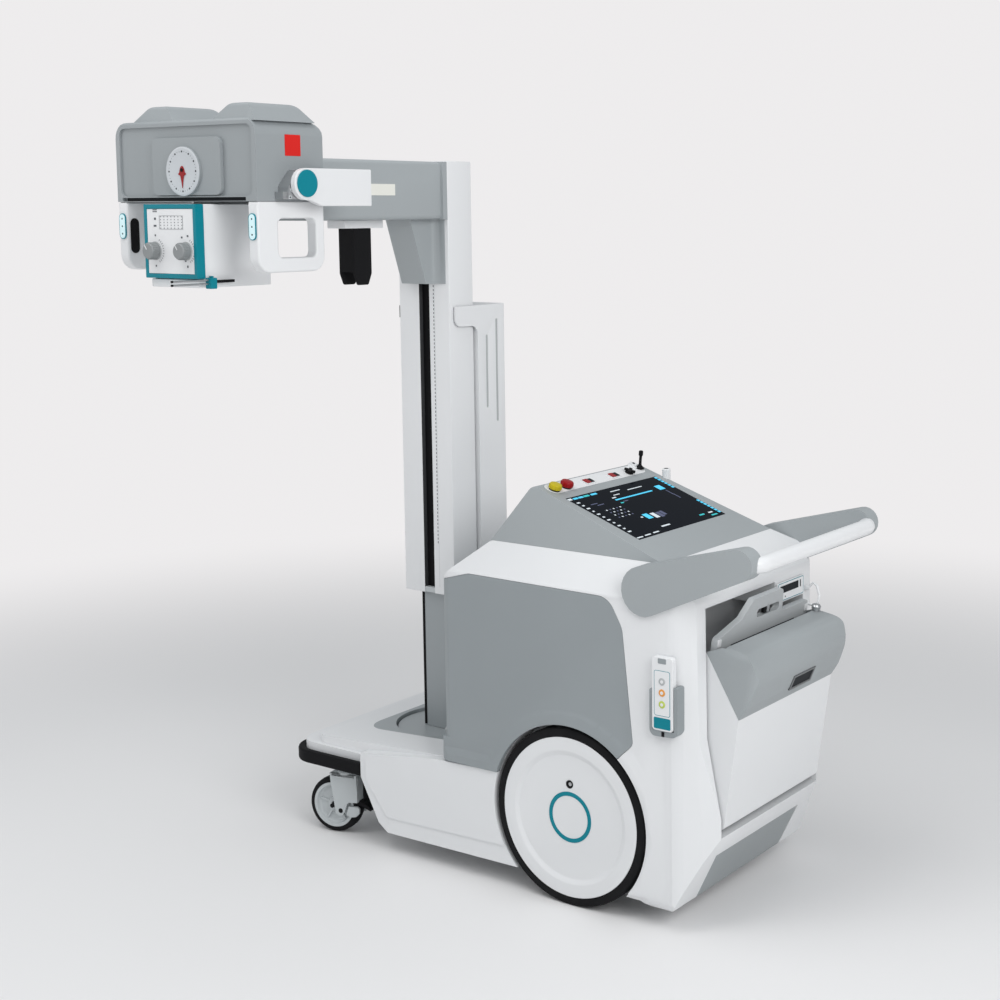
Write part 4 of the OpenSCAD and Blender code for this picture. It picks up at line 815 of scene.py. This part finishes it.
# ---- floor, walls and lights ----
# columns of a lamp: place, aim, size in metres, power in watts
studio = {"floor": (0.83, 0.825, 0.825), "back": (0.855, 0.842, 0.848), "fade": (1.9, 4.6), "reach": 14,
          "sky": (0.90, 0.93, 0.96), "skyStrength": 0.50,
          "lamps": {"rearSide": ((3.6, -1.3, 2.8), (0, 0, 0.8), 2.6, 82),
                    "above": ((-0.6, -1.2, 4.2), (0, 0, 0.6), 3.0, 58),
                    "front": ((-2.8, -2.8, 2.4), (0, 0, 0.9), 2.4, 16)}}


def setFloor():
    work = bmesh.new()
    bmesh.ops.create_circle(work, cap_ends=True, segments=96, radius=studio["reach"])
    mesh = bpy.data.meshes.new("floor")
    work.to_mesh(mesh)
    work.free()
    floor = bpy.data.objects.new("floor", mesh)
    bpy.context.scene.collection.objects.link(floor)
    finish = Finish("floorPale")
    finish.feed(Base_Color=rgb(studio["floor"]), Roughness=0.6 + finish.noise(30) * 0.1)
    x, y = finish.axis("X"), finish.axis("Y")
    reach = finish.add("ShaderNodeMath", {"operation": "SQRT"}, {0: x * x + y * y})
    near, far = studio["fade"]
    fade = finish.add("ShaderNodeMapRange", {"interpolation_type": "SMOOTHSTEP"},
                      {"Value": reach, "From Min": near, "From Max": far})
    glow = finish.add("ShaderNodeEmission", {}, {"Color": rgb(studio["back"]), "Strength": 1.0})
    blend = finish.add("ShaderNodeMixShader", {}, {0: fade, 1: Value(finish, finish.shader.outputs[0]), 2: glow})
    finish.tree.links.new(blend.socket, finish.tree.nodes["Material Output"].inputs["Surface"])
    mesh.materials.append(finish.material)


def setWorld():                             # a plain light, and the pale backdrop that only the camera sees
    world = bpy.data.worlds.new("studio")
    bpy.context.scene.world = world
    world.use_nodes = True
    tree = world.node_tree
    sky = tree.nodes["Background"]
    show = tree.nodes.new("ShaderNodeBackground")
    for node, colour, strength in ((sky, studio["sky"], studio["skyStrength"]), (show, studio["back"], 1.0)):
        node.inputs["Color"].default_value = rgb(colour)
        node.inputs["Strength"].default_value = strength
    path = tree.nodes.new("ShaderNodeLightPath")
    blend = tree.nodes.new("ShaderNodeMixShader")
    tree.links.new(path.outputs["Is Camera Ray"], blend.inputs[0])
    tree.links.new(sky.outputs[0], blend.inputs[1])
    tree.links.new(show.outputs[0], blend.inputs[2])
    tree.links.new(blend.outputs[0], tree.nodes["World Output"].inputs["Surface"])


def setLamps():
    for name, (stand, aim, size, power) in studio["lamps"].items():
        lamp = bpy.data.lights.new(name, "AREA")
        lamp.shape, lamp.size, lamp.energy = "DISK", size, power
        thing = bpy.data.objects.new(name, lamp)
        bpy.context.scene.collection.objects.link(thing)
        thing.location = stand
        thing.rotation_euler = (Vector(aim) - Vector(stand)).to_track_quat("-Z", "Y").to_euler()


setFloor()
setWorld()
setLamps()
bpy.context.scene.view_settings.view_transform = "Standard"
print("studio lit")
